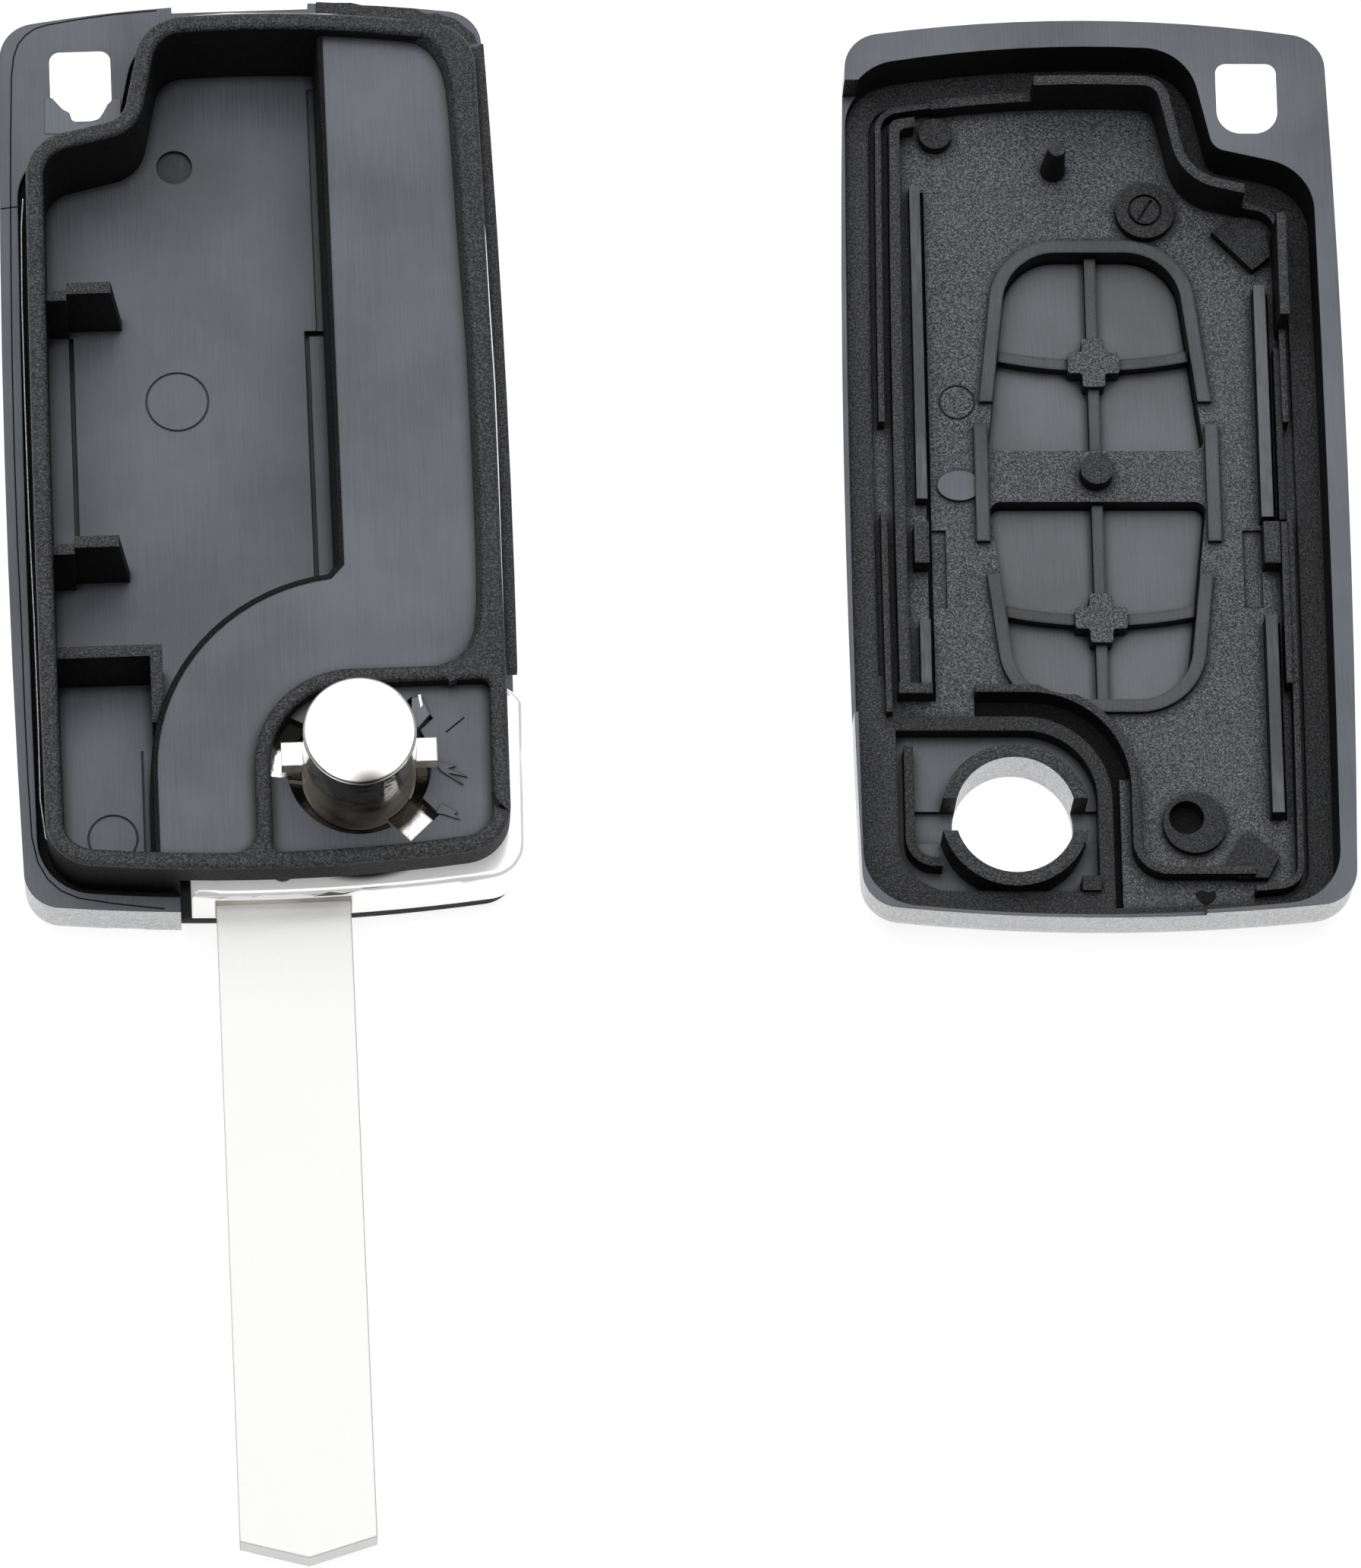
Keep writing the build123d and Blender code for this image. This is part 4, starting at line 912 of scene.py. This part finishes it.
def dressHolder(s):
    # Bright bar and band, the hub with its lugs and dark sides, and the dark end wall behind the
    # blade's root; the dark sides and end wall are painted shade
    node = dress("blade_holder", plateChrome, hubChrome, darkChrome, padChrome)
    plate, hub, dark, pad = range(len(node.data.materials))
    left, right, back = s["root"]
    for face in node.data.polygons:
        x, y, height = (value / mm for value in face.center)
        isSide = face.normal.z < slopes["hubTop"]
        if face.normal.z > slopes["plate"] and height < s["plateTop"]:
            face.material_index = pad
        elif math.hypot(x, y) < s["hub"]:
            face.material_index = dark if isSide else hub
        elif left < x < right and y > back and isSide:
            face.material_index = dark
        else:
            face.material_index = plate


holderLooks = {"hub": 8.6, "plateTop": 6.5, "root": (-11.0, -0.8, -8.85)}
dressHolder(holderLooks)
dress("key_blade", nickelBlade)
dress("blade_pin", springSteel)
dress("flip_spring", springSteel)
print("nodes dressed")

# Extra pieces, swept along paths in mm; a section's corners are (to the right of the path, height)


def placeCorner(piece, index, spot):
    bpy.ops.mesh.select_all(action="DESELECT")
    mesh = bmesh.from_edit_mesh(piece.data)
    mesh.verts.ensure_lookup_table()
    mesh.verts[index].select_set(True)
    shift = spot * mm - mesh.verts[index].co
    bmesh.update_edit_mesh(piece.data)
    bpy.ops.transform.translate(value=shift)


def startPiece(name, corners):
    bpy.ops.object.select_all(action="DESELECT")
    bpy.ops.mesh.primitive_circle_add(
        vertices=len(corners), radius=mm, fill_type="NGON", location=(0, 0, 0)
    )
    piece = bpy.context.active_object
    piece.name = name
    bpy.ops.object.mode_set(mode="EDIT")
    bpy.ops.mesh.select_mode(type="VERT")
    for index, spot in enumerate(corners):
        placeCorner(piece, index, spot)
    bpy.ops.mesh.select_all(action="SELECT")
    return piece


def endPiece(piece, material):
    bpy.ops.mesh.select_all(action="SELECT")
    bpy.ops.mesh.normals_make_consistent(inside=False)
    bpy.ops.object.mode_set(mode="OBJECT")
    piece.data.materials.clear()
    piece.data.materials.append(material)
    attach(piece, "shell")
    piece.select_set(False)


# Smaller turns of a path, in radians, are left out
leastTurn = 0.001


def makeSwept(name, s):
    points = [Vector((x, y, 0)) for x, y in s["path"]]
    ways = [(after - before).normalized() for before, after in zip(points, points[1:])]
    heading = ways[0]
    rightward = Vector((heading.y, -heading.x, 0))
    corners = [points[0] + rightward * aside + Vector((0, 0, z)) for aside, z in s["section"]]
    piece = startPiece(name, corners)
    for index in range(1, len(points)):
        step = points[index] - points[index - 1]
        bpy.ops.mesh.extrude_region_move(TRANSFORM_OT_translate={"value": step * mm})
        following = ways[min(index, len(ways) - 1)]
        turned = (ways[index - 1] + following).normalized()
        angle = math.atan2(heading.x * turned.y - heading.y * turned.x, heading.dot(turned))
        if abs(angle) > leastTurn:
            bpy.ops.transform.rotate(
                value=-angle,
                orient_axis="Z",
                orient_type="GLOBAL",
                center_override=points[index] * mm,
            )
        heading = turned
    endPiece(piece, s["finish"])


def makeFilm(name, s):
    low, high = s["heights"]
    piece = startPiece(name, [Vector((x, y, low)) for x, y in s["corners"]])
    bpy.ops.mesh.extrude_region_move(TRANSFORM_OT_translate={"value": (0, 0, (high - low) * mm)})
    endPiece(piece, s["finish"])


# Drafted foot along the roof's edge, and a dark rim on it, a strip standing in for the edge's shadow;
# both in the shade finish, painted shade
skirt = {
    "side": -0.65,
    "high": 58.2,
    "low": -6.6,
    "reach": 14.95,
    "fillet": 0.9,
    "arc": (96, 180),
    "count": 18,
    "section": ((-0.2, 9.06), (0.12, 9.04), (0.26, 8.85), (0.5, 1.32), (-0.2, 1.32)),
    "finish": shadePlastic,
    "slot": "case_plastic",
}


def roofEdge(s):
    # The roof's left edge: down its straight side, round the hinge, and down to the blade end
    points = [(s["side"], s["high"]), (s["side"], s["reach"] + s["fillet"])]
    start, end = s["arc"]
    for step in range(s["count"] + 1):
        angle = math.radians(start + (end - start) * step / s["count"])
        points.append((s["reach"] * math.cos(angle), s["reach"] * math.sin(angle)))
    return points + [(-s["reach"], s["low"])]


makeSwept("roofSkirt", dict(skirt, path=roofEdge(skirt)))
# Thickening inside the right wall
liner = {
    "path": (
        (5.59, 57.68), (6.56, 57.40), (7.39, 56.81), (7.98, 55.98), (8.40, 54.91),
        (8.63, 53.59), (8.77, 51.60), (8.86, 48.51), (8.99, 42.34), (9.15, 36.87),
        (9.29, 32.17), (9.31, 27.49), (9.31, 22.23), (9.27, 16.22), (9.16, 12.63),
        (8.89, 10.25), (8.33, 8.90), (7.45, 7.98), (6.20, 7.49),
    ),
    "section": (
        (0.0, 8.95), (-0.12, 9.6), (-0.42, 10.32), (-0.6, 10.46), (-1.85, 10.46), (-1.85, 8.95),
    ),
    "finish": leatherPlastic,
    "slot": "case_plastic",
}
makeSwept("wallLiner", liner)
# Bright lines along the walls' feet, painted highlights
lineSection = ((-0.04, -0.04), (0.04, -0.04), (0.04, 0.04), (-0.04, 0.04))
rightLine = {
    "height": 10.27,
    "finish": holePlastic,
    "path": (
        (-10.34, 59.65), (-7.48, 59.80), (-3.66, 59.67), (-0.06, 59.49), (2.78, 59.15),
        (5.62, 58.74), (7.31, 58.06), (8.98, 56.95), (9.95, 55.67), (10.41, 54.41),
        (10.63, 52.85), (10.83, 45.74), (11.07, 41.00), (11.15, 35.13), (11.25, 29.23),
        (11.21, 22.52), (11.10, 15.08), (11.01, 9.41),
    ),
}
leftLine = {
    "height": 5.92,
    "finish": flankPlastic,
    "path": (
        (-23.35, 47.08), (-23.53, 44.74), (-23.65, 38.60), (-23.66, 30.05), (-23.62, 21.57),
        (-23.47, 13.16), (-23.41, 5.58), (-23.42, -0.70), (-23.12, -3.66), (-22.22, -5.28),
        (-20.97, -6.39), (-19.16, -7.16), (-16.17, -7.28), (-13.61, -7.25),
    ),
}
for lineName, line in (("rightHighlightLine", rightLine), ("leftHighlightLine", leftLine)):
    raised = tuple((aside, line["height"] + up) for aside, up in lineSection)
    makeSwept(lineName, dict(line, section=raised, slot="case_plastic"))
# Dark lines on the case's rim: along its outer edge, and across it
rimSection = ((-0.05, 5.85), (0.05, 5.85), (0.05, 5.915), (-0.05, 5.915))
rimLines = {
    "rimEdgeLine": (
        (-12.82, 62.16), (-16.04, 61.96), (-18.92, 61.61), (-21.12, 61.25), (-22.04, 60.97),
        (-22.74, 60.49), (-23.34, 59.76), (-23.71, 58.71), (-23.92, 57.16), (-24.12, 52.19),
        (-24.27, 46.93), (-24.40, 41.09), (-24.52, 33.75), (-24.56, 26.45), (-24.53, 19.20),
        (-24.42, 13.20), (-24.36, 5.62), (-24.27, 0.70), (-24.12, -3.62), (-23.73, -5.57),
        (-23.05, -6.89), (-22.13, -7.81), (-20.81, -8.44), (-18.28, -8.95), (-14.57, -9.50),
    ),
    "rimCrossLine": ((-25.02, 46.34), (-23.54, 46.48)),
}
for lineName, points in rimLines.items():
    line = {"path": points, "section": rimSection, "finish": shadePlastic, "slot": "case_plastic"}
    makeSwept(lineName, line)
print("swept pieces made")

# Thin films and burrs left by the mould, and scratches in the hinge pocket
films = {
    "ringHoleFilm": {
        "corners": (
            (-20.93, 55.23), (-20.15, 54.28), (-19.66, 53.99), (-19.48, 53.38), (-18.85, 53.03),
            (-18.17, 53.21), (-17.53, 53.28), (-17.11, 53.91), (-16.78, 54.54), (-16.26, 55.07),
            (-15.76, 55.05), (-15.85, 52.13), (-21.56, 52.32), (-21.47, 55.24),
        ),
        "heights": (5.6, 5.94),
        "finish": flakePlastic,
        "slot": "case_plastic",
    },
    "rimFilm": {
        "corners": (
            (-0.74, 62.45), (0.64, 62.34), (1.91, 62.30), (2.93, 62.01), (5.23, 61.81),
            (6.66, 61.64), (7.62, 61.16), (8.37, 61.20), (9.79, 60.65), (10.45, 60.00),
            (11.11, 59.35), (11.31, 58.59), (10.83, 58.11), (9.69, 58.40), (8.29, 59.45),
            (6.31, 60.27), (2.89, 60.88), (-0.78, 61.26),
        ),
        "heights": (5.80, 5.96),
        "finish": leatherPlastic,
        "slot": "case_plastic",
    },
    "cornerFlash": {
        "corners": (
            (10.93, 57.86), (11.51, 58.02), (11.61, 57.52), (11.36, 57.09), (11.44, 56.46),
            (11.18, 55.72), (10.97, 56.10), (11.06, 56.98),
        ),
        "heights": (5.7, 5.9),
        "finish": flankPlastic,
        "slot": "case_plastic",
    },
    "notchFlake": {
        "corners": ((4.08, 5.0), (4.73, 5.13), (5.35, 3.7), (4.42, 2.65), (4.03, 3.75)),
        "heights": (9.0, 9.3),
        "finish": flakePlastic,
        "slot": "case_plastic",
    },
    "flakeTip": {
        "corners": ((4.55, 5.2), (4.75, 5.25), (4.85, 4.4), (4.7, 4.2)),
        "heights": (9.3, 9.4),
        "finish": holePlastic,
        "slot": "case_plastic",
    },
    "longScratch": {
        "corners": ((6.45, 2.40), (7.85, 3.5), (7.92, 3.42), (6.55, 2.34)),
        "heights": (8.95, 9.02),
        "finish": shadePlastic,
        "slot": "case_plastic",
    },
    "upperBurr": {
        "corners": (
            (5.35, 0.28), (6.2, -0.05), (7.1, -0.35), (6.5, -0.5),
            (7.92, -1.21), (6.5, -0.85), (7.6, -1.82), (6.0, -0.7),
        ),
        "heights": (8.95, 9.14),
        "finish": satinPlastic,
        "slot": "case_plastic",
    },
    "lowerBurr": {
        "corners": ((5.9, -3.2), (7.1, -3.95), (6.8, -4.05), (7.2, -4.5), (6.2, -4.1), (5.5, -3.9)),
        "heights": (8.95, 9.12),
        "finish": satinPlastic,
        "slot": "case_plastic",
    },
    "wallBurr": {
        "corners": ((9.5, -2.9), (10.75, -4.45), (9.9, -4.1)),
        "heights": (10.2, 10.5),
        "finish": shadePlastic,
        "slot": "case_plastic",
    },
    "coverBurr": {
        "corners": (
            (60.9, -11.75), (61.4, -11.5), (61.9, -11.7), (62.4, -11.6), (62.5, -12.1),
            (62.1, -12.5), (61.7, -12.7), (61.3, -12.4),
        ),
        "heights": (7.5, 7.68),
        "finish": shadePlastic,
        "slot": "cover_plastic",
    },
}
for filmName, film in films.items():
    makeFilm(filmName, film)
print("films and burrs made")
